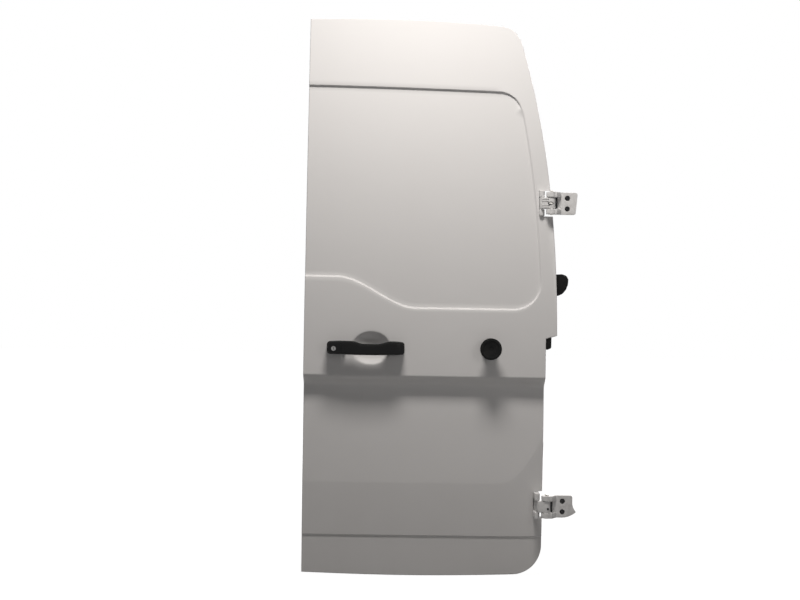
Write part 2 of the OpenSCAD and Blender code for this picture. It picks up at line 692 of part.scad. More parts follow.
// Handle: its front view cut out of its view from above
grip_front = handle_y - handle_out;
foot_y = handle_y - 1.5;
pivot_y = handle_y + 16;
function handle_top(x) = handle_z + 0.57 * handle_h
    - grip_dip * (ramp((x - dish_x + dish_w / 2) / dip_w) - ramp((x - dish_x - dish_w / 2 + dip_w) / dip_w))
    - 3 * pow(max(0, 1 - (x - handle_x) / 60), 2) - 3 * pow(max(0, 1 - (grip_end - x) / 40), 2)
    - corner_cut(x - handle_x, handle_r) - corner_cut(grip_end - x, handle_r);
function handle_low(x) = handle_z - 0.39 * handle_h - 3 * sin(180 * (x - handle_x) / handle_l)
    + corner_cut(x - handle_x, handle_r) + corner_cut(grip_end - x, handle_r);
cap_line = concat([for (a = [90:-22.5:0]) handle_x + handle_r * (1 - sin(a))],
    [for (w = [0.33, 0.66, 1]) mix(handle_x + handle_r, handle_x + cap_l, w)]);
grip_line = concat([for (w = [0:1 / 22:1.001]) mix(grip_x, grip_end - handle_r, w)],
    [for (a = [22.5:22.5:90]) grip_end - handle_r * (1 - sin(a))]);
module handle_front(line) {
    n = len(line) - 1;
    translate([0, cut / 2, 0]) rotate([90, 0, 0]) linear_extrude(cut)
        polygon(concat([for (x = line) [x, handle_low(x)]],
            [for (k = [n:-1:0]) [line[k], handle_top(line[k])]]));
}
module handle_profile(points) {
    translate([0, 0, handle_z - handle_h]) linear_extrude(2 * handle_h) polygon(points);
}
module handle_grip() {
    color(black) from_mount() difference() {
        union() {
            intersection() {
                handle_front(grip_line);
                handle_profile([[grip_x, grip_front + 4], [grip_x + 60, grip_front],
                    [grip_end - 60, grip_front], [grip_end - 6, grip_front + 7], [grip_end, grip_front + 13],
                    [grip_end, foot_y - seat - 0.3 * (grip_end - pivot_x + 2)], [pivot_x - 2, foot_y - seat],
                    [grip_end - 42, foot_y - seat], [grip_end - 58, grip_front + grip_t + 4],
                    [grip_end - 74, grip_front + grip_t], [grip_x, grip_front + grip_t]]);
            }
            block([pivot_x - lug_half, pivot_x + lug_half], [foot_y - 1, pivot_y],
                [handle_z - 9, handle_z + 9]);
            translate([pivot_x, pivot_y, handle_z - 9]) cylinder(18, r = lug_half, $fn = 32);
            block([grip_x + 2, grip_x + 14], [grip_front + grip_t - 2, handle_y + 14],
                [handle_z - 8, handle_z + 8]);
        }
        translate([pivot_x, pivot_y, handle_z - 20]) cylinder(40, d = pivot_d + 0.3, $fn = 24);
    }
}
module handle_end_cap() {
    cap_end = handle_x + cap_l;
    color(black) from_mount() difference() {
        intersection() {
            handle_front(cap_line);
            handle_profile([[handle_x, foot_y - seat], [handle_x, grip_front + 14],
                [handle_x + 6, grip_front + 7], [cap_end, grip_front + 4], [cap_end, foot_y - seat]]);
        }
        translate([lock_x, foot_y + 5, handle_z]) rotate([90, 0, 0])
            cylinder(2 * handle_out, d = barrel_d + 0.6, $fn = 48);
    }
}
module lock_cylinder() {
    color(steel) from_mount() difference() {
        translate([lock_x, handle_y + 20, handle_z]) rotate([90, 0, 0])
            cylinder(20 + handle_out - 8, d = barrel_d, $fn = 48);
        block([lock_x - 0.8, lock_x + 0.8], [-cut, grip_front + 11], [handle_z - 4, handle_z + 4]);
    }
}
module foot_gasket(x, hole) {
    color(rubber) from_mount() difference() {
        plate(x, [foot_y, handle_y - seat], [handle_z - 0.39 * handle_h, handle_z + 0.46 * handle_h], 6);
        block(hole, [-cut, cut], [handle_z - hole_half, handle_z + hole_half]);
    }
}
module front_handle_gasket() {
    foot_gasket([handle_x, cap_hole[1] + 4], cap_hole);
}
module rear_handle_gasket() {
    foot_gasket([grip_end - 42, grip_end], pivot_hole);
}
// Bracket behind the skin that holds the barrel and the grip's pivot pin
module handle_carrier() {
    back = carrier_y + carrier_deep;
    x = [handle_x + 2, grip_end + 2];
    step = cap_hole[1] + 3;
    z = [handle_z - carrier_half, handle_z + carrier_half];
    color(steel) from_mount() difference() {
        union() {
            block([x[0], step + carrier_t], [carrier_y, carrier_y + carrier_t], z);
            block(x, [back, back + carrier_t], z);
            for (wall = [x[0], step]) block([wall, wall + carrier_t], [carrier_y, back + carrier_t], z);
            for (low = [z[0], z[1] - 8])
                block([pivot_x - 7, x[1]], [carrier_y, back + carrier_t], [low, low + 8]);
            translate([pivot_x, pivot_y, z[0] + 1]) cylinder(2 * carrier_half - 2, d = pivot_d, $fn = 24);
        }
        block(cap_hole, [-cut, carrier_y + 10], [handle_z - hole_half, handle_z + hole_half]);
    }
}

// Door holder: foot and stem turned about the normal of the skin, with a rubber buffer
holder_tilt = atan(2 * crown * (holder_x - crown_x) / pow(door_w - crown_x, 2));
module at_holder() {
    translate([holder_x, skin_y(holder_x, holder_z) - seat, holder_z])
        rotate([90, 0, holder_tilt]) children();
}
module holder_foot() {
    color(black) from_mount() at_holder() rotate_extrude($fn = 64) polygon([[0, 0], [30, 0], [30, 4], [25, 9],
        [22, 18], [22, holder_out - 18], [0, holder_out - 18]]);
}
module holder_buffer() {
    r = holder_d / 2;
    color(rubber) from_mount() at_holder() rotate_extrude($fn = 64) polygon([[0, holder_out - 17.7],
        [r - 8, holder_out - 17.7], [r - 2, holder_out - 12], [r, holder_out - 7], [r - 2, holder_out - 2],
        [r - 7, holder_out], [r - 12, holder_out - 3], [0, holder_out - 3]]);
}

// Rubber pieces that look past the hinge-side edge
module wiring_boot() {
    low = boot_z - 0.46 * boot_h;
    high = boot_z + 0.5 * boot_h;
    lip = high - 0.24 * boot_h;
    start = door_w - 4;
    reach = boot_out + 4;
    y = skin_y(wall_x(boot_z), boot_z) + skin_t + land_depth + panel_t + 4;
    color(rubber) from_mount() {
        translate([0, y + boot_deep, 0]) rotate([90, 0, 0]) linear_extrude(boot_deep)
            polygon(concat([[wall_x(high) + seat + 1, high - 4], [wall_x(low) + seat + 1, low + 8]],
                [for (a = [-90:15:0]) [start + reach * cos(a), lip + (lip - low) * sin(a)]],
                [for (a = [15:15:90]) [start + reach * cos(a), lip + (high - lip) * sin(a)]]));
        translate([wall_x(boot_z) + seat, 0, boot_z]) rotate([0, wall_slope(boot_z), 0])
            block([0, boot_flange], [y - 3, y + boot_deep + 4], [-0.56 * boot_h, 0.56 * boot_h]);
    }
}
module edge_buffer() {
    y = skin_y(low_side - 9, buffer_z) + skin_t + lap_gap + panel_t + 1.2;
    color(rubber) from_mount() translate([0, y + 14, buffer_z]) rotate([90, 0, 0]) linear_extrude(14)
        polygon([[low_side - 31, -16], [low_side + 18, -11], [low_side + 22, -2], [low_side + 22, 16],
            [low_side + 10, 12], [low_side - 31, 12]]);
}

// Latches behind the meeting edge's side wall, and the rods between them
function latch_back(z) = back_y(z - latch_h / 2) - panel_t - 8;
module latch_slot(z) {
    y = latch_back(z);
    block([wall_inset - 10, latch_x + 16], [y - 24, y - 12], [z - latch_h / 4, z + latch_h / 4]);
}
module latch_body(z) {
    y = latch_back(z);
    color(steel) from_mount() difference() {
        block([latch_x, latch_x + latch_w], [y - latch_deep, y], [z - latch_h / 2, z + latch_h / 2]);
        latch_slot(z);
    }
}
module central_latch() { latch_body(central_latch_z); }
module top_latch() { latch_body(top_latch_z); }
module bottom_latch() { latch_body(bottom_latch_z); }
module latch_rod(low, high) {
    z0 = low + latch_h / 2 + 0.5;
    z1 = high - latch_h / 2 - 0.5;
    y0 = latch_back(low) - latch_deep / 2;
    y1 = latch_back(high) - latch_deep / 2;
    tilt = atan((y1 - y0) / (z1 - z0));
    color(steel) from_mount() translate([latch_x + latch_w / 2, y0, z0]) rotate([-tilt, 0, 0])
        cylinder((z1 - z0) / cos(tilt), d = 7, $fn = 24);
}
module top_latch_rod() { latch_rod(central_latch_z, top_latch_z); }
module bottom_latch_rod() { latch_rod(bottom_latch_z, central_latch_z); }
module lock_reinforcement() {
    y = carrier_y + carrier_deep + carrier_t + seat;
    color(paint) from_mount() difference() {
        block(lock_plate_x, [y, y + panel_t], lock_plate_z);
        plate(lock_window_x, [-cut, cut], [handle_z - lock_window_half, handle_z + lock_window_half],
            lock_window_r);
    }
}
module inner_release_handle() {
    y = frame_depth - panel_t - lap_gap + seat;
    color(black) from_mount() union() {
        plate([release_x, release_x + 80], [y, y + 4], [waist_low + 14, waist_low + 64], 8);
        plate([release_x + 10, release_x + 27], [y + 3, y + 20], [waist_low + 20, waist_low + 58], 6);
    }
}
module meeting_edge_seal() {
    heights = [for (z = side_heights) if (z > bottom_latch_z && z < top_latch_z) z];
    function seal_row(z, deep) = [for (x = seal_x)
        [x, skin_y(x, z) + skin_t + lap_gap + panel_t + seat + deep, z]];
    color(rubber) from_mount()
        sheet([for (z = heights) seal_row(z, 0)], [for (z = heights) seal_row(z, seal_t)]);
}
module overslam_buffers() {
    color(rubber) from_mount() for (z = [bottom_r + slam_d, top_latch_z - latch_h]) {
        tilt = atan((back_y(z + 10) - back_y(z - 10)) / 20);
        translate([side_x(z) - slam_inset, back_y(z) + seat, z]) rotate([-90 - tilt, 0, 0])
            cylinder(8, d = slam_d, $fn = 32);
    }
}

outer_skin();
inner_frame();
waist_panel();
upper_skin_stiffener();
lower_skin_stiffener();
upper_hinge_reinforcement();
lower_hinge_reinforcement();
upper_hinge_pocket();
lower_hinge_pocket();
lock_reinforcement();
upper_pillar_leaf();
lower_pillar_leaf();
upper_door_leaf();
lower_door_leaf();
upper_hinge_pin();
lower_hinge_pin();
handle_grip();
handle_end_cap();
lock_cylinder();
front_handle_gasket();
rear_handle_gasket();
handle_carrier();
holder_foot();
holder_buffer();
wiring_boot();
edge_buffer();
central_latch();
top_latch();
bottom_latch();
top_latch_rod();
bottom_latch_rod();
inner_release_handle();
meeting_edge_seal();
overslam_buffers();
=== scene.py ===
import math

import bmesh
import bpy
import numpy as np
from mathutils import Matrix, Vector


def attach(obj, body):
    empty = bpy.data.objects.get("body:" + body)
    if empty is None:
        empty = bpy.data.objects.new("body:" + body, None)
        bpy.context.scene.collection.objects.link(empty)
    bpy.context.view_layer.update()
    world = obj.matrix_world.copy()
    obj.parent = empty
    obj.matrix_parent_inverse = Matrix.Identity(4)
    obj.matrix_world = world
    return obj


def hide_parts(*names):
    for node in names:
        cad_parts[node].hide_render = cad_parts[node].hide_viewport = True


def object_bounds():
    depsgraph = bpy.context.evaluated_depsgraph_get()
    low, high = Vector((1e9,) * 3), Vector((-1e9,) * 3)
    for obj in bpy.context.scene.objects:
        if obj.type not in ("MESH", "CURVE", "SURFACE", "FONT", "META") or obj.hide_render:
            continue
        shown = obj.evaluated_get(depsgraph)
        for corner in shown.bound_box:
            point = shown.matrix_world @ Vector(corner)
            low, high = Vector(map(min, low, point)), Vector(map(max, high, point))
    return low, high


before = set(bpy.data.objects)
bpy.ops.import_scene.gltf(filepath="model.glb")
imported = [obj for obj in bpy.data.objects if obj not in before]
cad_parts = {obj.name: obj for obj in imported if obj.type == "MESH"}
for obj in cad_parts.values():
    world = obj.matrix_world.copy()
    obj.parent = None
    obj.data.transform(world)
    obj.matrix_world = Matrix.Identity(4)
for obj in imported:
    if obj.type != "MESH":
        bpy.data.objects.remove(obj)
cadLow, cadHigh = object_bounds()
print("frame loaded with", len(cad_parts), "nodes")

# The door in millimetres, as it is drawn: x from the meeting edge, z from the bottom
# edge, y = 0 on the lower panel and +y towards the inside of the van
origin = {"x": 858, "y": -14, "z": 238}  # middle of the lower leaf's mounting face


def placed(points):
    # door millimetres to the frame's metres
    points = np.asarray(points, float).reshape(-1, 3)
    return (points - (origin["x"], origin["y"], origin["z"])) / 1000


def spot(x, y, z):
    return Vector(placed((x, y, z))[0])


# ---- node trees as Python expressions

class Wire:
    # one socket of a node tree: the operators on it add Math nodes
    def __init__(self, finish, socket):
        self.finish, self.socket = finish, socket

    def maths(self, operation, *values):
        return self.finish.add("ShaderNodeMath", {"operation": operation}, dict(enumerate(values)))

    def __add__(self, other): return self.maths("ADD", self, other)
    def __radd__(self, other): return self.maths("ADD", other, self)
    def __sub__(self, other): return self.maths("SUBTRACT", self, other)
    def __rsub__(self, other): return self.maths("SUBTRACT", other, self)
    def __mul__(self, other): return self.maths("MULTIPLY", self, other)
    def __rmul__(self, other): return self.maths("MULTIPLY", other, self)

    def most(self, other): return self.maths("MAXIMUM", self, other)


class Finish:
    # the node tree of a material, or of the owner that is given
    def __init__(self, name, owner=None):
        self.owner = owner or bpy.data.materials.new(name)
        self.owner.use_nodes = True
        self.tree = self.owner.node_tree
        self.tree.nodes.clear()

    def add(self, kind, settings=None, inputs=None, out=0):
        node = self.tree.nodes.new(kind)
        for key, value in (settings or {}).items():
            setattr(node, key, value)
        for key, value in (inputs or {}).items():
            if isinstance(value, Wire):
                self.tree.links.new(value.socket, node.inputs[key])
            elif value is not None:
                node.inputs[key].default_value = value
        return Wire(self, node.outputs[out]) if len(node.outputs) else node

    def place(self, stretch=(1, 1, 1)):
        where = self.add("ShaderNodeTexCoord", out="Object")
        if stretch == (1, 1, 1):
            return where
        return self.add("ShaderNodeVectorMath", {"operation": "MULTIPLY"}, {0: where, 1: stretch})

    def noise(self, scale, detail, rough, stretch=(1, 1, 1)):
        return self.add("ShaderNodeTexNoise", {}, {"Vector": self.place(stretch), "Scale": scale,
                                                  "Detail": detail, "Roughness": rough})

    def fade(self, value, low, high, first=0.0, last=1.0):
        # value mapped from low..high to first..last, held at both ends
        return self.add("ShaderNodeMapRange", {"clamp": True}, {
            "Value": value, "From Min": low, "From Max": high, "To Min": first, "To Max": last})

    def blend(self, share, first, last):
        # two colours mixed by a share from 0 to 1
        first, last = [tone if isinstance(tone, Wire) else (*tone, 1) for tone in (first, last)]
        return self.add("ShaderNodeMix", {"data_type": "RGBA"}, {0: share, 6: first, 7: last}, 2)

    def seen(self):
        # 1 on what the camera sees, straight or in a mirror or through glass
        straight, mirror, glass = [self.add("ShaderNodeLightPath", out=kind) for kind in (
            "Is Camera Ray", "Is Glossy Ray", "Is Transmission Ray")]
        return straight.most(mirror).most(glass)

    def bump(self, height, strength, distance, under=None):
        return self.add("ShaderNodeBump", {}, {"Height": height, "Strength": strength,
                                               "Distance": distance, "Normal": under})

    def surface(self, **inputs):
        named = {key.replace("_", " "): value for key, value in inputs.items()}
        shader = self.add("ShaderNodeBsdfPrincipled", {}, named)
        self.add("ShaderNodeOutputMaterial", {}, {"Surface": shader})
        return self.owner


def outerPaint():
    # gloss body colour: faint orange peel, a little road film low down
    look = {"colour": (0.76, 0.75, 0.745), "film": (0.62, 0.60, 0.575), "peel": 420, "ripple": 9}
    paint = Finish("whiteBodyPaint")
    height = paint.add("ShaderNodeSeparateXYZ", {}, {"Vector": paint.place()}, out="Z")
    cloud = paint.noise(3.5, 4, 0.55)
    streak = paint.noise(11, 3, 0.5, (1, 1, 0.16))
    low = paint.fade(height, -0.25, 0.35, 0.55, 0.0)
    film = (cloud * 0.35 + streak * 0.25) * (0.25 + low)
    grit = paint.fade(paint.noise(900, 2, 0.6), 0.66, 0.74)
    colour = paint.blend(film, look["colour"], look["film"])
    peel = paint.noise(look["peel"], 1.5, 0.5)
    ripple = paint.noise(look["ripple"], 1, 0.4)
    fine = paint.bump(peel, 0.10, 0.0004)
    normal = paint.bump(ripple, 0.16, 0.0025, fine)
    return paint.surface(Base_Color=colour, Roughness=0.30 + film * 0.35 + grit * 0.05,
                         Normal=normal, Specular_IOR_Level=0.15, Coat_Weight=1.0 - film * 0.5,
                         Coat_Roughness=0.035, Coat_IOR=1.33)


def innerPaint():
    # body colour without clear coat, dusty in patches, with thin overspray
    paint = Finish("innerBodyPaint")
    cloud = paint.noise(6, 5, 0.6)
    dust = paint.fade(paint.noise(24, 6, 0.68), 0.48, 0.72, 0.0, 0.5)
    colour = paint.blend(dust, (0.66, 0.655, 0.645), (0.52, 0.505, 0.48))
    spray = paint.noise(1300, 2, 0.7)
    normal = paint.bump(spray, 0.16, 0.0004, paint.bump(cloud, 0.1, 0.002))
    return paint.surface(Base_Color=colour, Roughness=0.42 + dust * 0.4 + cloud * 0.08,
                         Normal=normal)


def castPaint():
    # body colour over forged hinge leaves: coarse skin, chipped on raised edges
    paint = Finish("paintedHingeSteel")
    skin = paint.noise(380, 4, 0.6)
    chips = paint.noise(160, 5, 0.7)
    edge = paint.add("ShaderNodeNewGeometry", out="Pointiness")
    bare = paint.fade(edge + chips * 0.10, 0.65, 0.73)
    grime = paint.fade(paint.noise(60, 5, 0.65), 0.48, 0.72, 0.0, 0.5)
    coat = paint.blend(grime, (0.74, 0.735, 0.73), (0.50, 0.485, 0.47))
    colour = paint.blend(bare, coat, (0.38, 0.36, 0.34))
    normal = paint.bump(skin, 0.35, 0.0006, paint.bump(chips, 0.2, 0.0008))
    return paint.surface(Base_Color=colour, Metallic=bare * 0.7, Roughness=0.40 + grime * 0.3,
                         Normal=normal)


def satinBlack():
    # moulded handle plastic: satin, fine scuffs along its length
    black = Finish("satinBlackPlastic")
    scuffs = black.noise(420, 3, 0.6, (0.08, 1, 1))
    patch = black.noise(28, 4, 0.6)
    colour = black.blend(patch * 0.6, (0.007, 0.007, 0.0072), (0.014, 0.0138, 0.0135))
    grain = black.noise(2600, 1, 0.5)
    normal = black.bump(grain, 0.12, 0.0002)
    return black.surface(Base_Color=colour, Roughness=0.15 + scuffs * 0.14 + patch * 0.05,
                         Specular_IOR_Level=0.11, Normal=normal)


def grainedBlack():
    # unpainted technical plastic, dull and slightly greyed
    black = Finish("grainedBlackPlastic")
    grain = black.add("ShaderNodeTexVoronoi", {"feature": "SMOOTH_F1"}, {
        "Vector": black.place(), "Scale": 1500.0})
    patch = black.noise(40, 5, 0.65)
    colour = black.blend(patch, (0.009, 0.009, 0.0095), (0.024, 0.0235, 0.023))
    return black.surface(Base_Color=colour, Roughness=0.46 + patch * 0.2, Specular_IOR_Level=0.1,
                         Normal=black.bump(grain, 0.3, 0.0003))


def dullRubber():
    rubber = Finish("blackRubber")
    bloom = rubber.fade(rubber.noise(55, 5, 0.7), 0.42, 0.75, 0.0, 0.7)
    colour = rubber.blend(bloom, (0.009, 0.009, 0.009), (0.030, 0.029, 0.028))
    pores = rubber.noise(1700, 2, 0.6)
    return rubber.surface(Base_Color=colour, Roughness=0.58 + bloom * 0.25, Specular_IOR_Level=0.1,
                          Normal=rubber.bump(pores, 0.3, 0.0003))


def platedSteel():
    # zinc plate with its faint bluish and straw patches
    steel = Finish("zincPlatedSteel")
    bloom = steel.noise(38, 5, 0.6)
    tint = steel.blend(bloom, (0.60, 0.60, 0.62), (0.62, 0.57, 0.47))
    dull = steel.fade(steel.noise(130, 5, 0.7), 0.42, 0.72)
    colour = steel.blend(dull * 0.5, tint, (0.36, 0.355, 0.35))
    return steel.surface(Base_Color=colour, Metallic=0.9, Roughness=0.30 + dull * 0.28,
                         Normal=steel.bump(steel.noise(900, 3, 0.6), 0.2, 0.0003))


def blackBolt():
    # phosphated screws, greyer on their rims
    steel = Finish("blackScrewSteel")
    edge = steel.add("ShaderNodeNewGeometry", out="Pointiness")
    rub = steel.fade(edge + steel.noise(500, 3, 0.6) * 0.08, 0.60, 0.70, 0.0, 0.7)
    colour = steel.blend(rub, (0.012, 0.012, 0.013), (0.10, 0.10, 0.10))
    return steel.surface(Base_Color=colour, Metallic=0.6,
                         Roughness=0.30 + steel.noise(240, 3, 0.6) * 0.2,
                         Normal=steel.bump(steel.noise(1500, 2, 0.6), 0.2, 0.0002))


def nickelFace():
    # turned nickel with fine rings and small scratches
    nickel = Finish("nickelPlate")
    scratch = nickel.noise(900, 4, 0.7, (1, 0.2, 1))
    wear = nickel.fade(nickel.noise(200, 4, 0.6), 0.45, 0.7)
    colour = nickel.blend(wear * 0.5, (0.26, 0.255, 0.25), (0.15, 0.148, 0.145))
    return nickel.surface(Base_Color=colour, Metallic=1.0, Roughness=0.24 + scratch * 0.2,
                          Normal=nickel.bump(scratch, 0.15, 0.0002))


def seamSealer():
    # brushed sealer and mastic, painted over with the body colour
    sealer = Finish("seamSealer")
    drag = sealer.noise(260, 3, 0.6, (0.25, 1, 0.25))
    tone = sealer.noise(18, 4, 0.6)
    colour = sealer.blend(tone, (0.60, 0.59, 0.565), (0.50, 0.485, 0.45))
    return sealer.surface(Base_Color=colour, Roughness=0.55 + tone * 0.15,
                          Normal=sealer.bump(drag, 0.6, 0.0008))


finishes = {"bolt": blackBolt(), "nickel": nickelFace(), "sealer": seamSealer(),
            "outer": outerPaint(), "inner": innerPaint(), "hinge": castPaint(),
            "handle": satinBlack(), "plastic": grainedBlack(), "rubber": dullRubber(),
            "zinc": platedSteel()}
print("finishes made")


# ---- meshes

def makePiece(name, points, faces, body, finish, replaces=(), sharp=35):
    mesh = bpy.data.meshes.new(name)
    mesh.from_pydata([tuple(p) for p in placed(points)], [], faces)
    mesh.validate()
    return settle(name, mesh, body, finish, replaces, sharp)


def settle(name, mesh, body, finish, replaces=(), sharp=35):
    # the mesh becomes a shown piece: smooth between sharp edges, riding on its body
    tidy = bmesh.new()
    tidy.from_mesh(mesh)
    bmesh.ops.recalc_face_normals(tidy, faces=tidy.faces)
    tidy.to_mesh(mesh)
    tidy.free()
    mesh.shade_smooth()
    mesh.set_sharp_from_angle(angle=math.radians(sharp))
    mesh.materials.clear()
    mesh.materials.append(finishes[finish])
    piece = bpy.data.objects.new(name, mesh)
    bpy.context.scene.collection.objects.link(piece)
    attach(piece, body)
    if replaces:
        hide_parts(*replaces)
    return piece


def applied(piece, sharp, kind, **settings):
    # adds one modifier and keeps the mesh that it makes
    change = piece.modifiers.new("change", kind)
    for key, value in settings.items():
        setattr(change, key, value)
    view = bpy.context.evaluated_depsgraph_get()
    mesh = bpy.data.meshes.new_from_object(piece.evaluated_get(view))
    piece.modifiers.clear()
    old, piece.data = piece.data, mesh
    bpy.data.meshes.remove(old)
    mesh.shade_smooth()
    mesh.set_sharp_from_angle(angle=math.radians(sharp))


def softened(node, name, body, finish, width=0.8, segments=2, sharp=32, angle=28):
    # a CAD solid with its edges rounded as a casting, moulding or pressing has them
    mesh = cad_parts[node].data.copy()
    mesh.name = name
    tidy = bmesh.new()
    tidy.from_mesh(mesh)
    bmesh.ops.remove_doubles(tidy, verts=tidy.verts, dist=2e-6)
    bmesh.ops.dissolve_limit(tidy, angle_limit=math.radians(1.0), verts=tidy.verts,
                             edges=tidy.edges)
    tidy.to_mesh(mesh)
    tidy.free()
    piece = settle(name, mesh, body, finish, (node,), sharp)
    applied(piece, sharp, "BEVEL", width=width / 1000, segments=segments, limit_method="ANGLE",
            angle_limit=math.radians(angle))


# ---- ways of making pieces

def rings(path, count=48):
    # loops round an axis: each entry is (radius, height) or (apothem, height, sides)
    angle = np.linspace(0, 2 * math.pi, count, endpoint=False)
    loops = []
    for radius, height, *sides in path:
        if sides:
            part = 2 * math.pi / sides[0]
            radius = radius / np.cos((angle + part / 2) % part - part / 2)
        loops.append(np.stack([radius * np.cos(angle), radius * np.sin(angle),
                               np.full(count, float(height))], 1))
    return np.array(loops)


def joined(loops, closed=False):
    # faces between loops of points, with end caps unless the loops close on themselves
    count, size = loops.shape[:2]
    faces = []
    for i in range(count if closed else count - 1):
        for k in range(size):
            a, b = i * size, ((i + 1) % count) * size
            faces.append((a + k, a + (k + 1) % size, b + (k + 1) % size, b + k))
    if not closed:
        faces.append(tuple(range(size))[::-1])
        faces.append(tuple((count - 1) * size + k for k in range(size)))
    return loops.reshape(-1, 3), faces


def aimed(points, centre, axis):
    # local points with their height along the axis, set down at centre
    along = Vector(axis).normalized()
    side = along.orthogonal().normalized()
    up = along.cross(side)
    basis = np.array([side, up, along])
    return np.asarray(points).reshape(-1, 3) @ basis + np.asarray(centre, float)


class Parts:
    # several closed forms gathered into one piece
    def __init__(self):
        self.points, self.faces, self.count = [], [], 0

    def add(self, points, faces):
        self.points.append(np.asarray(points, float).reshape(-1, 3))
        self.faces += [tuple(self.count + k for k in face) for face in faces]
        self.count += len(self.points[-1])
        return self

    def turn(self, path, centre, axis=(0, -1, 0), count=48):
        points, faces = joined(rings(path, count))
        return self.add(aimed(points, centre, axis), faces)

    def loops(self, loops, closed=False):
        return self.add(*joined(np.asarray(loops, float), closed))

    def make(self, name, body, finish, replaces=(), sharp=35):
        return makePiece(name, np.concatenate(self.points), self.faces, body, finish, replaces,
                         sharp)


def filleted(corners, radii, steps=6):
    # outline with its corners rounded: corners are (u, v), anticlockwise
    corners = np.asarray(corners, float)
    radii = np.broadcast_to(radii, len(corners))
    line = []
    for k, corner in enumerate(corners):
        before, after = [way / np.linalg.norm(way) for way in (
            corners[k - 1] - corner, corners[(k + 1) % len(corners)] - corner)]
        half = math.acos(np.clip(before @ after, -1, 1)) / 2
        if radii[k] < 0.05 or half > 1.55:
            line.append(corner)
            continue
        reach = radii[k] / math.tan(half)
        between = (before + after) / np.linalg.norm(before + after)
        middle = corner + between * radii[k] / math.sin(half)
        start, end = corner + before * reach - middle, corner + after * reach - middle
        first, last = math.atan2(start[1], start[0]), math.atan2(end[1], end[0])
        swing = (last - first + math.pi) % (2 * math.pi) - math.pi
        for s in range(steps + 1):
            angle = first + swing * s / steps
            line.append(middle + radii[k] * np.array([math.cos(angle), math.sin(angle)]))
    return np.array(line)


def shrunk(outline, inset):
    # outline moved inwards along its own normals
    before, after = np.roll(outline, 1, 0), np.roll(outline, -1, 0)
    run = after - before
    run /= np.maximum(np.linalg.norm(run, axis=1), 1e-9)[:, None]
    return outline + np.stack([-run[:, 1], run[:, 0]], 1) * inset


def slabLoops(outline, low, high, soft, steps=4):
    # a plate between two heights with rounded rims, as loops of (u, v, height)
    loops = []
    for height, way, order in ((low, 1, range(steps + 1)), (high, -1, range(steps, -1, -1))):
        for s in order:
            angle = math.pi / 2 * s / steps
            flat = shrunk(outline, soft * (1 - math.sin(angle)))
            depth = height + way * soft * (1 - math.cos(angle))
            loops.append(np.column_stack([flat, np.full(len(flat), depth)]))
    return loops


def standing(loops, y0=0.0):
    # loops of (x, z, depth) stood up in the door's x-z plane, depth towards the inside
    return np.array([np.stack([l[:, 0], l[:, 2] + y0, l[:, 1]], 1) for l in loops])


def lying(loops, z):
    # loops of (x, y, height) laid flat with their height measured from z
    return [l + (0, 0, z) for l in loops]


def sideways(loops):
    # loops of (y, z, depth) turned to face along x
    return [l[:, [2, 0, 1]] for l in loops]


def wallX(z):
    return float(sideX(z)) - panel["wall"]


def wallSlope(z):
    return math.atan((wallX(z + 36.5) - wallX(z - 36.5)) / 73)


def onWall(loops, z):
    # loops of (along the side wall, y, height off it) set on the sloping wall round z
    slope = Matrix.Rotation(wallSlope(z), 3, "Y")
    foot = Vector((wallX(z) + 0.3, 0, z))
    return [[foot + slope @ Vector((h, d, u)) for u, d, h in l] for l in loops]


# ---- form of the skin

skin = {"height": 1846, "width": 832, "stepIn": 37, "stepZ": 787, "stepH": 13, "lowFlare": 4,
        "shoulderZ": 655, "taper": 147, "taperPower": 2.52, "topFall": 16, "sag": 6,
        "bottomR": 97, "topR": 55, "thick": 1.6, "beltZ": 663, "beltSlope": 42, "beltOut": 38,
        "topLean": 72, "crown": 10, "creaseZ": 305, "creaseTurn": 17, "creaseSoft": 3.5,
        "sillZ": 129, "sillStep": 3, "rim": 3.0, "sweepW": 149, "sweepEase": 115,
        "beltRise": 20, "crownX": 200, "topCrownX": 220}
panel = {"sheet": 2.0, "hem": 34, "land": 20, "wall": 58, "rail": 72, "lap": 0.7,
         "hemStart": 16, "bend": 5.0, "back": 55, "backLean": 47}
field = {"depth": 6.5, "swage": 8, "margin": 48, "top": 1610, "low": 887, "rise": 100, "riseX": 105,
         "riseW": 262, "rTop": 60, "rLow": 85, "fall": 12}
dish = {"x": 221, "z": 749, "width": 128, "height": 108, "depth": 22, "soft": 2.2}
notch = {"x": 766, "past": 900, "half": 42.5}  # cut for a hinge, out past the edge
hinges = {"upper": 1234, "lower": 238}  # heights of their middles
latches = {"top": 1640, "central": 853, "bottom": 180}
latch = {"half": 42, "deep": 36, "left": 60.3, "right": 86.3, "under": 8, "slotHalf": 21,
         "slotFront": 24, "slotBack": 12}
beltTop = skin["beltZ"] + skin["beltRise"]
topCorner = skin["height"] - skin["topFall"]
mitre = math.sqrt(0.5)


def ramp(t):
    t = np.clip(t, 0, 1)
    return t * t * (3 - 2 * t)


def mix(a, b, share):
    return a + (b - a) * share


def cornerCut(s, r):
    return np.where(s < r, r - np.sqrt(np.maximum(0, r * r - (r - s) ** 2)), 0)


def sideX(z):
    z = np.asarray(z, float)
    lean = np.maximum(0, (z - skin["shoulderZ"]) / (skin["height"] - skin["shoulderZ"]))
    return (skin["width"] - skin["stepIn"] * (1 - ramp((z - skin["stepZ"]) / skin["stepH"]))
            + skin["lowFlare"] * np.maximum(0, 1 - z / (skin["beltZ"] - skin["beltSlope"]))
            - skin["taper"] * lean ** skin["taperPower"])


lowSide = float(sideX(skin["bottomR"]))
topSide = float(sideX(topCorner - skin["topR"] * (1 - mitre)))


def edgeX(z):
    return (sideX(z) - cornerCut(np.maximum(0, z), skin["bottomR"])
            - cornerCut(np.maximum(0, topCorner - z), skin["topR"]))


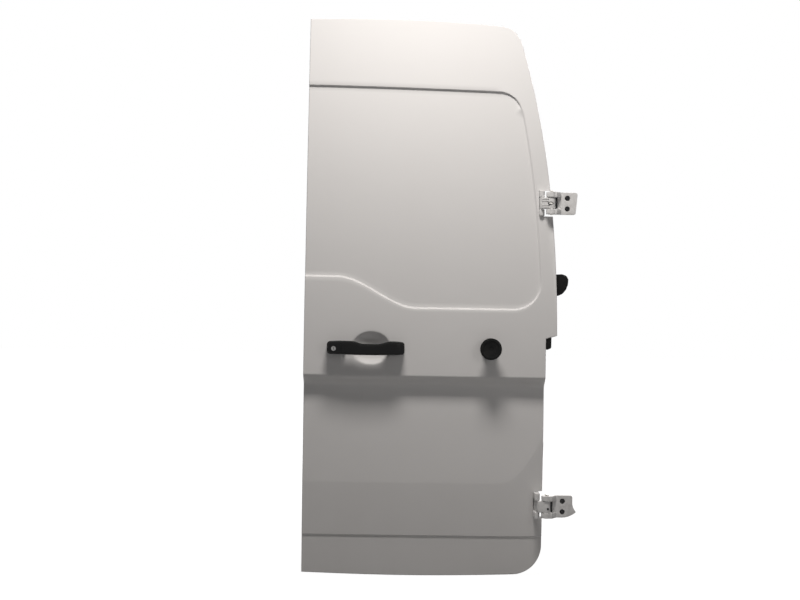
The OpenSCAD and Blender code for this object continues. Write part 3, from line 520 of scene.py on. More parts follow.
def bottomZ(x):
    sag = -skin["sag"] * np.sin(math.pi * np.clip(x / (lowSide - skin["bottomR"]), 0, 1))
    return sag + cornerCut(np.maximum(0, lowSide - x), skin["bottomR"])


def topZ(x):
    reach = topSide - skin["topR"] - skin["topCrownX"]
    return skin["height"] - skin["topFall"] * ((x - skin["topCrownX"]) / reach) ** 2


fieldCorner = field["top"] - field["fall"]
fieldRightLow = float(sideX(field["low"] + field["rLow"])) - field["margin"] - field["swage"]
fieldRightTop = (float(sideX(fieldCorner - field["rTop"] * (1 - mitre))) - field["margin"]
                 - field["swage"])


def fieldSide(z, ease):
    return (sideX(z) - field["margin"] - field["swage"] + ease
            - cornerCut(np.maximum(0, z - field["low"] + ease), field["rLow"] + ease)
            - cornerCut(np.maximum(0, fieldCorner - z + ease), field["rTop"] + ease))


def fieldBottom(x, ease):
    return (field["low"] - ease + field["rise"] * (1 - ramp((x - field["riseX"]) / field["riseW"]))
            + cornerCut(np.maximum(0, fieldRightLow + ease - x), field["rLow"] + ease))


def fieldHead(x, ease):
    return (field["top"] + ease - field["fall"] * (np.maximum(0, x) / fieldRightTop) ** 1.4
            - cornerCut(np.maximum(0, fieldRightTop + ease - x), field["rTop"] + ease))


def fieldDepth(x, z):
    wide = field["swage"]
    return (field["depth"] * ramp((z - fieldBottom(x, wide)) / wide)
            * ramp((fieldHead(x, wide) - z) / wide) * ramp((fieldSide(z, wide) - x) / wide))


def creaseAt(x):
    past = np.maximum(0, x - lowSide + skin["sweepW"])
    return skin["creaseZ"] + 100 * (past / skin["sweepEase"]) ** 2


def bodyY(x, z):
    crease = creaseAt(x)
    under = crease - z
    under = (under + np.sqrt(under * under + skin["creaseSoft"] ** 2)) / 2  # a soft fold
    sill = skin["sillStep"] * ramp((z - skin["sillZ"] + 2) / 3)
    flat = skin["beltZ"] - skin["beltSlope"]
    bow = 3 * np.clip((z - crease) / (flat - skin["creaseZ"]), 0, 1) ** 2
    lower = skin["creaseTurn"] * under / skin["creaseZ"] - sill - bow
    over = np.maximum(0, z - beltTop) / (skin["height"] - beltTop)
    upper = -skin["beltOut"] + skin["topLean"] * over ** 2
    share = ramp((z - flat) / skin["beltSlope"])
    bulge = (x - skin["crownX"]) / (skin["width"] - skin["crownX"])
    return mix(lower, upper, share) + skin["crown"] * bulge ** 2


def dishDepth(x, z):
    half = dish["height"] / 2
    ball = (half ** 2 + dish["depth"] ** 2) / (2 * dish["depth"])
    out = np.hypot((x - dish["x"]) * dish["height"] / dish["width"], z - dish["z"])
    near = half * 1.25
    deep = np.where(out < near, np.sqrt(np.maximum(1, ball ** 2 - np.minimum(out, near) ** 2))
                    - ball + dish["depth"], -30.0)
    return (deep + np.sqrt(deep * deep + dish["soft"] ** 2)) / 2 - 0.02


def skinY(x, z):
    return bodyY(x, z) + fieldDepth(x, z)


def backY(z):
    over = np.maximum(0, z - beltTop) / (skin["height"] - beltTop)
    return panel["back"] + panel["backLean"] * over ** 2


def latchY(z):
    # back of a latch case under the rail of the inner frame
    return float(backY(z - latch["half"])) - panel["sheet"] - latch["under"]


def webY(z):
    # front of a hinge's web, over the pressing's land
    return float(bodyY(768, z)) + skin["thick"] + panel["land"] + panel["sheet"] + 3


# ---- outer skin

rimSteps = [0, 0.25, 0.8, 1.5, 2.3, 3.2, 4.4, 6.5, 10]  # distances from a free edge


def steps(a, b, pitch):
    count = max(1, round(abs(b - a) / pitch))
    return [a + (b - a) * k / count for k in range(count)]


def skinGrid():
    # rows of (x, z) that follow the outline, the crease and the window field's edges
    wide, inner = field["swage"], 739.0
    places = rimSteps + steps(18, 148, 13) + steps(148, 294, 2) + steps(294, inner, 13)
    across = [x / inner for x in places] + [1.0]  # finest across the dish
    ease = [k / 6 for k in range(1, 7)]
    margin = [1 - d / field["margin"] for d in [40, 32, 25, 18, 14] + rimSteps[::-1]]
    nField = len(across) - 1

    def columns(start, outer, side):
        return np.array([start * a for a in across] + [mix(start, outer, e) for e in ease]
                        + [mix(outer, side, m) for m in margin])

    def plainRow(z):
        side = float(edgeX(z))
        xs = columns(side - field["margin"] - wide, side - field["margin"], side)
        return np.stack([xs, np.full_like(xs, z)], 1)

    def endRow(side, heightOf):
        xs = columns(side - field["margin"] - wide, side - field["margin"], side)
        return np.stack([xs, heightOf(xs)], 1)

    bottomRow = endRow(lowSide - skin["bottomR"] * (1 - mitre), bottomZ)
    topRow = endRow(topSide - skin["topR"] * (1 - mitre),
                    lambda xs: topZ(xs) - cornerCut(np.maximum(0, topSide - xs), skin["topR"]))
    creaseRow = plainRow(skin["creaseZ"])
    creaseRow[:, 1] = np.minimum(creaseAt(creaseRow[:, 0]), skin["creaseZ"] + 130)

    def lowCornerX(e): return fieldRightLow + e - (field["rLow"] + e) * (1 - mitre)
    def lowCornerZ(e): return field["low"] - e + (field["rLow"] + e) * (1 - mitre)
    def topCornerX(e): return fieldRightTop + e - (field["rTop"] + e) * (1 - mitre)
    def topCornerZ(e): return fieldCorner + e - (field["rTop"] + e) * (1 - mitre)
    slip = 0.7 * wide
    sideLow, sideHigh = field["low"] - 10, fieldCorner + 40
    past = nField + len(ease)

    def fieldEdge(cornerX, cornerZ, heightOf, sideZ):
        xs = columns(cornerX - slip, cornerX, float(edgeX(sideZ)))
        zs = heightOf(xs)
        zs[past:] = [mix(cornerZ, sideZ, m) for m in [0] + margin]
        return np.stack([xs, zs], 1)

    lowEdge = fieldEdge(lowCornerX(wide), lowCornerZ(wide), lambda xs: fieldBottom(xs, wide),
                        sideLow)
    highEdge = fieldEdge(topCornerX(wide), topCornerZ(wide), lambda xs: fieldHead(xs, wide),
                         sideHigh)

    def fieldRow(share):
        z1 = mix(lowCornerZ(0), topCornerZ(0), share)
        z2 = mix(lowCornerZ(wide) + slip, topCornerZ(wide) - slip, share)
        z3 = mix(sideLow + 10, sideHigh - 10, share)
        xs = columns(float(fieldSide(z1, 0)), float(fieldSide(z2, wide)), float(edgeX(z3)))
        a = np.array(across)
        zs = np.empty_like(xs)
        zs[:nField + 1] = mix(fieldBottom(lowCornerX(0) * a, 0), fieldHead(topCornerX(0) * a, 0),
                              share)
        start = zs[nField]
        zs[nField + 1:past + 1] = [mix(start, z2, e) for e in ease]
        zs[past + 1:] = [mix(z2, z3, m) for m in margin]
        return np.stack([xs, zs], 1)

    def between(a, b, share):
        row = mix(a, b, share)
        side = float(edgeX(mix(a[-1, 1], b[-1, 1], share)))
        push = np.zeros(len(row))
        push[past:] = [0] + margin
        row[:, 0] += push * (side - row[-1, 0])
        return row

    belt = skin["beltZ"] - skin["beltSlope"]
    under = plainRow(skin["sillZ"] - 4)
    tall = under[0, 1]
    rows = [between(bottomRow, under, z / tall) for z in rimSteps + steps(18, tall, 13)]
    rows += [plainRow(z) for z in steps(skin["sillZ"] - 4, skin["sillZ"] + 3, 0.75)]
    overSill = plainRow(skin["sillZ"] + 3)
    rows += [between(overSill, creaseRow, s) for s in steps(0, 0.93, 0.075)]
    rows += [creaseRow + [0, d] for d in (-9, -6, -4, -2.5, -1.2, 0, 1.2, 2.5, 4, 6, 9)]
    underBelt = plainRow(belt - 26)
    rows += [between(creaseRow, underBelt, s) for s in steps(0.05, 1, 0.05)]
    rows += [plainRow(z) for z in steps(belt - 26, belt - 2, 4)
             + steps(belt - 2, skin["beltZ"] + 6, 2) + steps(skin["beltZ"] + 6, beltTop + 8, 4)]
    overBelt = plainRow(beltTop + 8)
    rows += [between(overBelt, lowEdge, s) for s in steps(0, 0.44, 0.0078)
             + steps(0.44, 0.62, 0.011) + steps(0.62, 1, 0.045)]
    firstField, lastField = fieldRow(0), fieldRow(1)
    rows += [between(lowEdge, firstField, s) for s in steps(0, 1, 1 / 6)]
    rows += [fieldRow(s) for s in steps(0, 1, 0.02)] + [lastField]
    rows += [between(lastField, highEdge, s) for s in steps(1 / 6, 1, 1 / 6)]
    length = float(topRow[0, 1] - highEdge[0, 1])
    topShares = steps(0, 1 - 18 / length, 0.065) + [1 - d / length for d in rimSteps[::-1]]
    rows += [between(highEdge, topRow, s) for s in topShares]
    return np.array(rows)


def rimCurl(grid):
    # the sheet turns back over its free edges: quarter round of the rim's radius
    outline = np.concatenate([grid[:, 0], grid[-1, 1:], grid[-2::-1, -1], grid[0, -2:0:-1]])
    flat = grid.reshape(-1, 2)
    curl = np.zeros(len(flat))
    nRow, nCol = grid.shape[:2]
    row, col = np.divmod(np.arange(len(flat)), nCol)
    reach = 12  # rows and columns that the rim can touch
    near = (row < reach) | (row > nRow - reach) | (col < reach) | (col > nCol - reach)
    a = outline
    b = np.roll(outline, -1, axis=0)
    ab = b - a
    size = np.maximum((ab ** 2).sum(1), 1e-9)
    for i in np.nonzero(near)[0]:
        t = np.clip(((flat[i] - a) * ab).sum(1) / size, 0, 1)
        gap = np.sqrt((((a + ab * t[:, None]) - flat[i]) ** 2).sum(1).min())
        short = skin["rim"] - min(gap, skin["rim"])
        curl[i] = skin["rim"] - math.sqrt(max(0, skin["rim"] ** 2 - short ** 2))
    return curl.reshape(nRow, nCol)


def thinned(values, gap):
    # indices of values at least gap apart, first and last kept
    kept = [0]
    for k in range(1, len(values) - 1):
        if abs(values[k] - values[kept[-1]]) >= gap:
            kept.append(k)
    return kept + [len(values) - 1]


def outerSkin():
    grid = skinGrid()
    nRow, nCol = grid.shape[:2]
    x, z = grid[..., 0], grid[..., 1]
    y = skinY(x, z) + dishDepth(x, z) + rimCurl(grid)
    front = np.stack([x, y, z], -1)
    keepRow = thinned(z[:, 20], 5)
    keepCol = thinned(x[20], 4)
    back = front[np.ix_(keepRow, keepCol)].copy()
    back[..., 1] += skin["thick"]
    points = np.concatenate([front.reshape(-1, 3), back.reshape(-1, 3)])
    faces = []
    for i in range(nRow - 1):
        for j in range(nCol - 1):
            a = i * nCol + j
            faces.append((a, a + 1, a + nCol + 1, a + nCol))
    start, wide = nRow * nCol, len(keepCol)
    for i in range(len(keepRow) - 1):
        for j in range(wide - 1):
            a = start + i * wide + j
            faces.append((a, a + wide, a + wide + 1, a + 1))
    for edge, rowAt in ((0, 0), (nRow - 1, len(keepRow) - 1)):  # walls along bottom and top
        for j in range(wide - 1):
            run = [edge * nCol + k for k in range(keepCol[j], keepCol[j + 1] + 1)]
            faces.append(tuple(run + [start + rowAt * wide + j + 1, start + rowAt * wide + j]))
    for edge, colAt in ((0, 0), (nCol - 1, wide - 1)):  # walls along both sides
        for i in range(len(keepRow) - 1):
            run = [k * nCol + edge for k in range(keepRow[i], keepRow[i + 1] + 1)]
            faces.append(tuple(run + [start + (i + 1) * wide + colAt, start + i * wide + colAt]))
    piece = makePiece("outer_skin_pressing", points, faces, "door", "outer", ("outer_skin",), 40)
    cutBoxes(piece, hingeNotches() + handleHoles())


def hingeNotches():
    return [((notch["x"], notch["past"]), (-90, 60), (z - notch["half"], z + notch["half"]))
            for z in sorted(hinges.values())]


def handleHoles():
    return [((86, 148), (-60, -25), (736, 760)), ((310, 327.5), (-60, -25), (736, 760))]


def cutWith(piece, cutter, sharp=40):
    # material taken out of a piece where the cutter's forms lie
    mesh = bpy.data.meshes.new("cutter")
    mesh.from_pydata([tuple(p) for p in placed(np.concatenate(cutter.points))], [], cutter.faces)
    tool = bpy.data.objects.new("cutter", mesh)
    bpy.context.scene.collection.objects.link(tool)
    tidy = bmesh.new()
    tidy.from_mesh(mesh)
    bmesh.ops.recalc_face_normals(tidy, faces=tidy.faces)
    tidy.to_mesh(mesh)
    tidy.free()
    bpy.context.view_layer.update()
    applied(piece, sharp, "BOOLEAN", operation="DIFFERENCE", solver="EXACT", object=tool)
    bpy.data.objects.remove(tool)


def cutBoxes(piece, boxes):
    # openings given by their ends on each axis, in door millimetres
    cutter = Parts()
    for (x0, x1), (y0, y1), (z0, z1) in boxes:
        cutter.add([(x, y, z) for x in (x0, x1) for y in (y0, y1) for z in (z0, z1)],
                   [(0, 1, 3, 2), (4, 6, 7, 5), (0, 4, 5, 1), (2, 3, 7, 6), (0, 2, 6, 4),
                    (1, 5, 7, 3)])
    cutWith(piece, cutter)


outerSkin()
print("outer skin made")

# ---- inner frame

def outline(inset):
    # closed line round the door at a distance from its edge, as in the pressing's own drawing
    rb, rt = max(skin["bottomR"] - inset, 15), max(skin["topR"] - inset, 15)
    bx, tz = lowSide - inset - rb, topCorner - inset - rt
    tx = float(sideX(tz + rt * mitre)) - inset - rt
    line = [(x, float(bottomZ(min(x, lowSide - skin["bottomR"]))) + inset)
            for x in np.linspace(inset, bx, 26)]
    line += [(bx + rb * math.cos(a), inset + rb + rb * math.sin(a))
             for a in np.linspace(-math.pi / 2, 0, 13)[1:]]
    heights = np.concatenate([np.linspace(150, 787, 56), np.linspace(789, 801, 5),
                              np.linspace(812, 1740, 80)])
    line += [(float(sideX(z)) - inset, z) for z in heights]
    line += [(float(sideX(tz + rt * math.sin(a))) - inset - rt + rt * math.cos(a),
              tz + rt * math.sin(a)) for a in np.linspace(0, math.pi / 2, 11)]
    line += [(x, float(topZ(x)) - inset) for x in np.linspace(tx, inset, 22)[1:]]
    line += [(inset, z) for z in heights[::-1]]
    return np.array(line)


def carried(section):
    # a section carried round the door: each point is (inset, surface it is measured from, depth)
    loops = []
    for inset, surface, depth in section:
        line = outline(inset)
        x, z = line[:, 0], line[:, 1]
        base = backY(z) if surface == "back" else skin["thick"] + (
            skinY(x, z) if surface == "skin" else bodyY(x, z))
        loops.append(np.stack([x, base + depth, z], 1))
    return loops


def bend(inset, surface, depth, way, turn, r, steps=4):
    # quarter round between a run across (way = -1 or 1) and a run in depth (turn = -1 or 1)
    angles = [math.pi / 2 * s / steps for s in range(steps + 1)]
    return [(inset - way * r * (1 - math.sin(a)), surface, depth + turn * r * (1 - math.cos(a)))
            for a in angles]


def innerFrame():
    t, lap, deep = panel["sheet"], panel["lap"], panel["land"]
    edge, hem, wall = panel["hemStart"], panel["hem"], panel["wall"]
    rail, big = wall + t + panel["rail"], panel["bend"]
    small = big - t
    front = ([(edge, "skin", lap + 0.5), (edge + 0.4, "skin", lap)]
             + bend(hem + t, "skin", lap, 1, 1, big)
             + bend(hem + t, "land", deep, -1, -1, small)[::-1]
             + bend(wall + t, "land", deep, 1, 1, big)
             + bend(wall + t, "back", -t, -1, -1, small)[::-1]
             + [(rail - 0.5, "back", -t), (rail, "back", -t + 0.6)])
    back = ([(rail, "back", -0.6), (rail - 0.6, "back", 0)]
            + bend(wall, "back", 0, -1, -1, big)
            + bend(wall, "land", deep + t, 1, 1, small)[::-1]
            + bend(hem, "land", deep + t, -1, -1, big)
            + bend(hem, "skin", lap + t, 1, 1, small)[::-1]
            + [(edge + 0.4, "skin", lap + t), (edge, "skin", lap + t - 0.5)])
    piece = Parts().loops(carried(front + back), closed=True).make(
        "inner_frame_pressing", "door", "inner", ("inner_frame",), sharp=45)
    boxes = []
    for z in sorted(hinges.values()):
        y = float(bodyY(notch["x"], z))
        boxes.append(((notch["x"] - 4, notch["past"]), (y - 20, y + skin["thick"] + deep + t + 2),
                      (z - notch["half"], z + notch["half"])))
    for z in sorted(latches.values()):
        y = latchY(z)
        boxes.append(((48, 76.3), (y - latch["slotFront"], y - latch["slotBack"]),
                      (z - latch["slotHalf"], z + latch["slotHalf"])))
    cutBoxes(piece, boxes)


def hemAndSealer():
    # the skin's edge folded over the frame, and the sealer brushed along the fold
    hem = [(0.5, "skin", 3.5), (1.1, "skin", 4.3), (2.4, "skin", 3.5), (4.2, "skin", 2.95),
           (13.6, "skin", 2.9), (14.4, "skin", 2.5), (14.4, "skin", 2.0), (13.6, "skin", 1.6),
           (4.2, "skin", 1.6), (1.6, "skin", 2.5)]
    folded = Parts().loops(carried(hem), closed=True).make("outer_skin_hem", "door", "inner",
                                                           sharp=50)
    bead = [(13.0, "skin", 2.6), (13.6, "skin", 3.7), (15.2, "skin", 4.4), (17.0, "skin", 4.3),
            (18.4, "skin", 3.7), (19.2, "skin", 2.9), (16.0, "skin", 2.4)]
    loops = carried(bead)
    random = np.random.default_rng(7)
    wobble = np.convolve(random.normal(0, 0.35, len(loops[0]) + 4), np.ones(5) / 5, "valid")
    for loop, share in zip(loops[1:5], (1, 1.4, 1.4, 1)):
        loop[:, 1] += wobble * share
    sealer = Parts().loops(loops, closed=True).make("seam_sealer", "door", "sealer", sharp=60)
    cutBoxes(folded, hingeNotches())
    cutBoxes(sealer, hingeNotches())


innerFrame()
hemAndSealer()
print("inner frame made")


# ---- hinges

pin = {"x": 805, "y": -30}
leaf = {"face": -14, "holeX": 858, "holeStep": 17.5}


def socketBolt(parts, centre, axis, r=7.9, rise=4.0, recess=2.8, shank=4.8, length=4.0):
    # low round head with a six-sided socket, washer face below
    return parts.turn([(shank, -length), (shank, 0), (r - 0.7, 0), (r, 0.6), (r, rise * 0.35),
                       (r * 0.86, rise * 0.75), (r * 0.62, rise * 0.96), (recess + 1.0, rise),
                       (recess + 0.25, rise, 6), (recess, rise - 0.4, 6),
                       (recess, rise - 2.2, 6), (0.4, rise - 2.6)], centre, axis, 36)


def hexBolt(parts, centre, axis, across=6.5, rise=5, washer=8.5):
    return parts.turn([(washer - 0.5, 0), (washer, 0.3), (washer, 1.1), (washer - 0.6, 1.5),
                       (across + 0.2, 1.5, 6), (across + 0.2, rise - 0.8, 6),
                       (across - 0.5, rise, 6), (across * 0.6, rise + 0.05),
                       (across * 0.4, rise - 0.3)], centre, axis, 36)


def doorLeaf(level, z):
    # forged arm: knuckle, neck, leg through the notch, web, and base on the side wall
    knuckle = [(pin["x"] + 12 * math.cos(a), pin["y"] + 12 * math.sin(a))
               for a in np.linspace(-2.2, 2.5, 26)]
    front, web, wall = float(bodyY(768, z)), webY(z), wallX(z)
    neck = [(787, -15.5), (778.5, -7), (778.5, web + 9), (775.5, web + 12), (wall + 4, web + 12),
            (wall + 4, web), (765.5, web), (768, web - 3)]
    neck += {"upper": [(768, -24), (772, -31), (786, -36)],
             "lower": [(768, front + 6), (776, -29), (788, -38.5)]}[level]
    arm = Parts().loops(lying(slabLoops(np.array(knuckle + neck), -18.5, 18.5, 1.6), z))
    end = float(backY(z)) - 4
    foot = filleted([(-30, web + 1), (30, web + 1), (30, end), (-30, end)], 6)
    arm.loops(onWall(slabLoops(foot, 0, 7, 1.5), z))
    bored = arm.make(level + "_door_leaf_forging", "door", "hinge", (level + "_door_leaf",))
    cutWith(bored, Parts().turn([(5.2, -30), (5.2, 30)], (pin["x"], pin["y"], z), (0, 0, 1)))
    shoulder = Parts()
    inner = front + 19
    plan = filleted([(766.6, -25.5), (776.5, -25.5), (784, -18.5), (784, inner), (766.6, inner)],
                    (3, 3, 2, 2, 2), 3)
    for low, high in ((19.7, 41.3), (-41.3, -19.7)):
        shoulder.loops(lying(slabLoops(plan, low, high, 1.2), z))
    shoulder.make(level + "_hinge_shoulder", "door", "hinge")


def upperArmDetail(z):
    # low ribs across the arm, and the oval key that holds the pin
    ribs = Parts()
    for lift in (-13.8, -6.9, 6.9, 13.8):
        at = z + lift
        ribs.loops(np.array([
            [(a, ya, at - w), (b, yb, at - w), (b, yb, at + w), (a, ya, at + w)]
            for a, ya, b, yb, w in ((771, -27, 793, -36.5, 2.6), (772, -31.9, 794, -40.0, 2.2),
                                    (774, -32.7, 793, -40.4, 1.0))]))
    ribs.make("upper_leaf_ribs", "door", "hinge", sharp=20)
    # the black oval under the key is painted shade: a dark ring standing for the shaded pocket
    # round the key
    for name, wide, tall, front, finish in (("upper_pin_key_shade_ring", 9.0, 5.4, -42.2, "bolt"),
                                            ("upper_pin_key", 6.4, 3.1, -42.7, "zinc")):
        turn = np.linspace(0, 2 * math.pi, 33)[:-1]
        oval = np.stack([800.5 + wide * np.cos(turn), z - 1 + tall * np.sin(turn)], 1)
        Parts().loops(standing(slabLoops(oval, 0, 5, 0.6), front)).make(name, "door", finish)


def pillarLeaf(level, z):
    # the loose leaf with its ears round the pin, and two bolts for the pillar
    softened(level + "_pillar_leaf", level + "_pillar_leaf_forging", "pillar_leaves", "hinge",
             2.4, 4)
    # web behind the gap between knuckle and plate: it closes the gap, and its black is painted
    # shade standing for the shaded gap
    strip = filleted([(819.4, -16.6), (830, -16.6), (830, -14.2), (819.4, -14.2)], 0.6)
    Parts().loops(lying(slabLoops(strip, -20, 20, 0.4), z)).make(
        level + "_painted_shade_web", "pillar_leaves", "bolt")
    bosses = Parts()
    tail = filleted([(788, -38), (798, -43.5), (798, -17), (788, -21)], (4, 1, 1, 4))
    for low in (19.7, -36.3):
        bosses.turn([(14.2, low), (15.2, low + 0.8), (15.2, low + 15.6), (14.2, low + 16.6)],
                    (pin["x"], pin["y"], z), (0, 0, 1))
        bosses.loops(lying(slabLoops(tail, low + 0.4, low + 16.2, 1), z))
    bosses.make(level + "_leaf_bosses", "pillar_leaves", "hinge")
    bolts = Parts()
    for side in (-1, 1):
        socketBolt(bolts, (leaf["holeX"], leaf["face"] - 4.0, z + side * leaf["holeStep"]),
                   (0, -1, 0), rise=5.4)
    bolts.make(level + "_leaf_bolts", "pillar_leaves", "bolt")


def hingePin(level, z):
    Parts().turn([(4.1, -38.5), (4.9, -37.6), (5, -36), (5, 38.6), (7.3, 38.6), (7.5, 39.1),
                  (7.3, 40.2), (6.3, 41.1), (4, 41.6), (1, 41.6)], (pin["x"], pin["y"], z),
                 (0, 0, 1), 40).make(level + "_pin", "pillar_leaves", "zinc",
                                     (level + "_hinge_pin",))
    if level == "lower":
        Parts().turn([(3.6, -1), (3.6, 1.0), (3.0, 1.5), (1.8, 1.5, 6), (1.7, 0.3, 6), (0.3, 0.1)],
                     (pin["x"] + 2.5, pin["y"] - 12, z - 5), (0, -1, 0), 30).make(
            "lower_pin_lock_screw", "door", "bolt")


def sideBolts(level, z):
    bolts = Parts()
    along = (webY(z) + 12 + float(backY(z)) - 4) / 2
    slope = wallSlope(z)
    for lift in (-20, 20):
        hexBolt(bolts, (wallX(z) + 7.2 + lift * math.tan(slope), along, z + lift),
                (math.cos(slope), 0, -math.sin(slope)))
    bolts.make(level + "_side_bolts", "door", "zinc")


for level, z in hinges.items():
    pillarLeaf(level, z)
    doorLeaf(level, z)
    if level == "upper":
        upperArmDetail(z)
    hingePin(level, z)
    sideBolts(level, z)
print("hinges made")


# ---- handle

grip = {"left": 78, "right": 330, "split": 124, "gap": 0.8, "z": 748, "h": 44, "dip": 9, "dipW": 42,
        "round": 8, "front": -83.76, "thick": 19, "foot": -39.26, "skin": -37.76, "lockX": 100,
        "pivotX": 318}


def gripTop(x):
    x = np.asarray(x, float)
    left, right = x - grip["left"], grip["right"] - x
    dipStart = dish["x"] - dish["width"] / 2
    dipEnd = dish["x"] + dish["width"] / 2 - grip["dipW"]
    dip = ramp((x - dipStart) / grip["dipW"]) - ramp((x - dipEnd) / grip["dipW"])
    return (grip["z"] + 0.57 * grip["h"] - grip["dip"] * dip
            - 3 * np.maximum(0, 1 - left / 60) ** 2 - 3 * np.maximum(0, 1 - right / 40) ** 2
            - cornerCut(left, grip["round"]) - cornerCut(right, grip["round"]))


def gripLow(x):
    x = np.asarray(x, float)
    length = grip["right"] - grip["left"]
    return (grip["z"] - 0.39 * grip["h"] - 3 * np.sin(math.pi * (x - grip["left"]) / length)
            + cornerCut(x - grip["left"], grip["round"])
            + cornerCut(grip["right"] - x, grip["round"]))


def gripFront(x):
    # seen from above: nearly straight, drawn back at both ends
    left = x - grip["left"]
    if x > grip["split"]:
        start = 4.2 * max(0, 1 - (left - 46) / 60) ** 1.5
    else:
        start = 4 + 10 * max(0, 1 - left / 26) ** 2.2
    end = 13 * max(0, 1 - (grip["right"] - x) / 34) ** 2.1
    return grip["front"] + min(start, 14) + end


def gripBack(x):
    # the foot is relieved past the pivot, so that it can swing
    lifted = grip["foot"] - 0.3 - 0.3 * max(0, x - grip["pivotX"] + 2)
    share = float(ramp((x - grip["right"] + 76) / 34))
    return mix(grip["front"] + grip["thick"], lifted, share)


def gripLoops(stations, back, soft=(9.0, 4.0)):
    loops = []
    for x in stations:
        top, low = float(gripTop(x)), float(gripLow(x))
        front, rear = gripFront(x), back(x)
        tall, deep = top - low, rear - front
        r1, r2 = min(soft[0], tall * 0.42, deep * 0.6), min(soft[1], tall * 0.3, deep * 0.3)
        line = filleted([(front, low), (rear, low), (rear, top), (front, top)],
                        (r1, r2, r2, r1))
        loops.append(np.column_stack([np.full(len(line), x), line]))
    return loops


def slabBlock(x0, x1, z0, z1, r, high, soft, front):
    # a block in the door's plane from front inwards
    corners = [(x0, z0), (x1, z0), (x1, z1), (x0, z1)]
    return standing(slabLoops(filleted(corners, r), 0, high, soft), front)


def handle():
    left, right, split = grip["left"], grip["right"], grip["split"]
    ends = [0, 0.15, 0.6, 1.3, 2.2, 3.4, 4.8, 6.4, 8]
    pull = Parts()
    seam = [split + grip["gap"] + d for d in (0, 0.5, 1.5)]
    pull.loops(gripLoops(seam + list(np.linspace(split + 5, right - 9, 62))
                         + [right - d for d in ends[::-1]], gripBack))
    pull.loops(slabBlock(313, 323, 739, 757, 1.5, 19.5, 1, -40.8))
    pull.loops(slabBlock(127, 139, 740, 756, 1.5, 39.5, 1, -66))
    pull.make("handle_grip_moulding", "grip", "handle", ("handle_grip",), sharp=50)
    cap = Parts().loops(gripLoops([left + d for d in ends]
                                  + list(np.linspace(left + 10, split - 1.5, 16))
                                  + [split - 0.5, split], lambda x: grip["foot"]))
    endCap = cap.make("handle_end_cap_moulding", "door", "handle", ("handle_end_cap",), sharp=50)
    cutWith(endCap, Parts().turn([(9.1, -60), (9.1, 0), (9.1, 40)],
                                 (grip["lockX"], -75, grip["z"])), 50)


def lock():
    # nickel barrel with its key slot, in a collar
    barrel = Parts().turn([(8, -20), (8, 37.4), (7.6, 38.0), (6.6, 38.1), (6.3, 37.4),
                           (1.6, 37.4), (0.4, 37.4)], (grip["lockX"], grip["skin"], grip["z"]))
    face = barrel.make("lock_barrel", "key_barrel", "nickel", ("lock_cylinder",))
    slot = filleted([(99.1, 744), (100.9, 744), (100.9, 752), (99.1, 752)], 0.5)
    cutWith(face, Parts().loops(standing(slabLoops(slot, -14, 0, 0.1), -64)), 35)
    Parts().turn([(8.15, -3), (8.15, 2.8), (8.6, 3.5), (9.3, 3.7), (9.05, 2.0), (9.0, -3)],
                 (grip["lockX"], -75.6, grip["z"])).make("lock_collar", "door", "handle")


handle()
lock()
for name in ("front_handle_gasket", "rear_handle_gasket"):
    softened(name, name + "_strip", "door", "rubber", 0.45)
print("handle made")


# ---- door holder

holder = {"x": 609, "z": 754, "tilt": 1.172, "sunk": 0.3}
holderAxis = (math.sin(math.radians(holder["tilt"])), -math.cos(math.radians(holder["tilt"])), 0)
holderFoot = (holder["x"], float(skinY(holder["x"], holder["z"])) - holder["sunk"], holder["z"])
Parts().turn([(29.4, 0), (30, 0.5), (30, 2.6), (29.2, 3.8), (27, 6.2), (25, 9), (23.4, 13),
              (22.4, 18), (22, 24), (22, 31.6), (21.4, 32), (1, 32)],
             holderFoot, holderAxis, 72).make("holder_stem", "door", "plastic", ("holder_foot",))
Parts().turn([(1, 32.3), (26, 32.3), (29, 32.9), (32.6, 35.4), (34.8, 39), (35.5, 42.6),
              (35.1, 45.6), (33.8, 48), (31.6, 49.6), (29, 50), (27, 49.5), (25.6, 48.2),
              (24.8, 47.2), (23.6, 46.9), (9, 46.9), (8.4, 46.5), (7.6, 45.2), (6.5, 44.9),
              (1, 44.9)], holderFoot, holderAxis, 72).make(
    "holder_rubber", "door", "rubber", ("holder_buffer",), sharp=45)


# ---- rubber parts

boot = {"z": 966, "h": 68, "deep": 24}


def wiringBoot():
    # rubber hood that looks past the edge, with its flange on the side wall
    z = boot["z"]
    y = float(skinY(wallX(z), z)) + skin["thick"] + panel["land"] + panel["sheet"] + 4
    foot, head = wallX(z - 0.46 * boot["h"]) + 2, wallX(z + 0.5 * boot["h"]) + 2
    hood = filleted([(foot, 930), (838, 930.5), (853, 937.5), (864, 951), (870.5, 968),
                     (871.8, 986), (865, 998), (850, 1003.5), (head, 996)],
                    (3, 20, 20, 25, 30, 12, 12, 20, 3))
    Parts().loops(standing(slabLoops(hood, 0, boot["deep"], 6.5, 6), y)).make(
        "wiring_boot_hood", "door", "rubber", ("wiring_boot",), sharp=50)
    flange = filleted([(-38, y - 3), (38, y - 3), (38, y + 28), (-38, y + 28)], 6)
    Parts().loops(onWall(slabLoops(flange, 0, 5, 1.5), z)).make(
        "wiring_boot_flange", "door", "rubber", sharp=50)


def edgeBuffer():
    y = float(skinY(789, 767)) + skin["thick"] + panel["lap"] + panel["sheet"] + 1.2
    rubberBlock = filleted([(770, 756), (801, 752.5), (813, 758), (813.5, 806), (801, 797),
                            (770, 790)], (2, 5, 5, 4, 3, 2))
    Parts().loops(standing(slabLoops(rubberBlock, 0, 14, 2.5), y)).make(
        "edge_buffer_block", "door", "rubber", ("edge_buffer",), sharp=50)


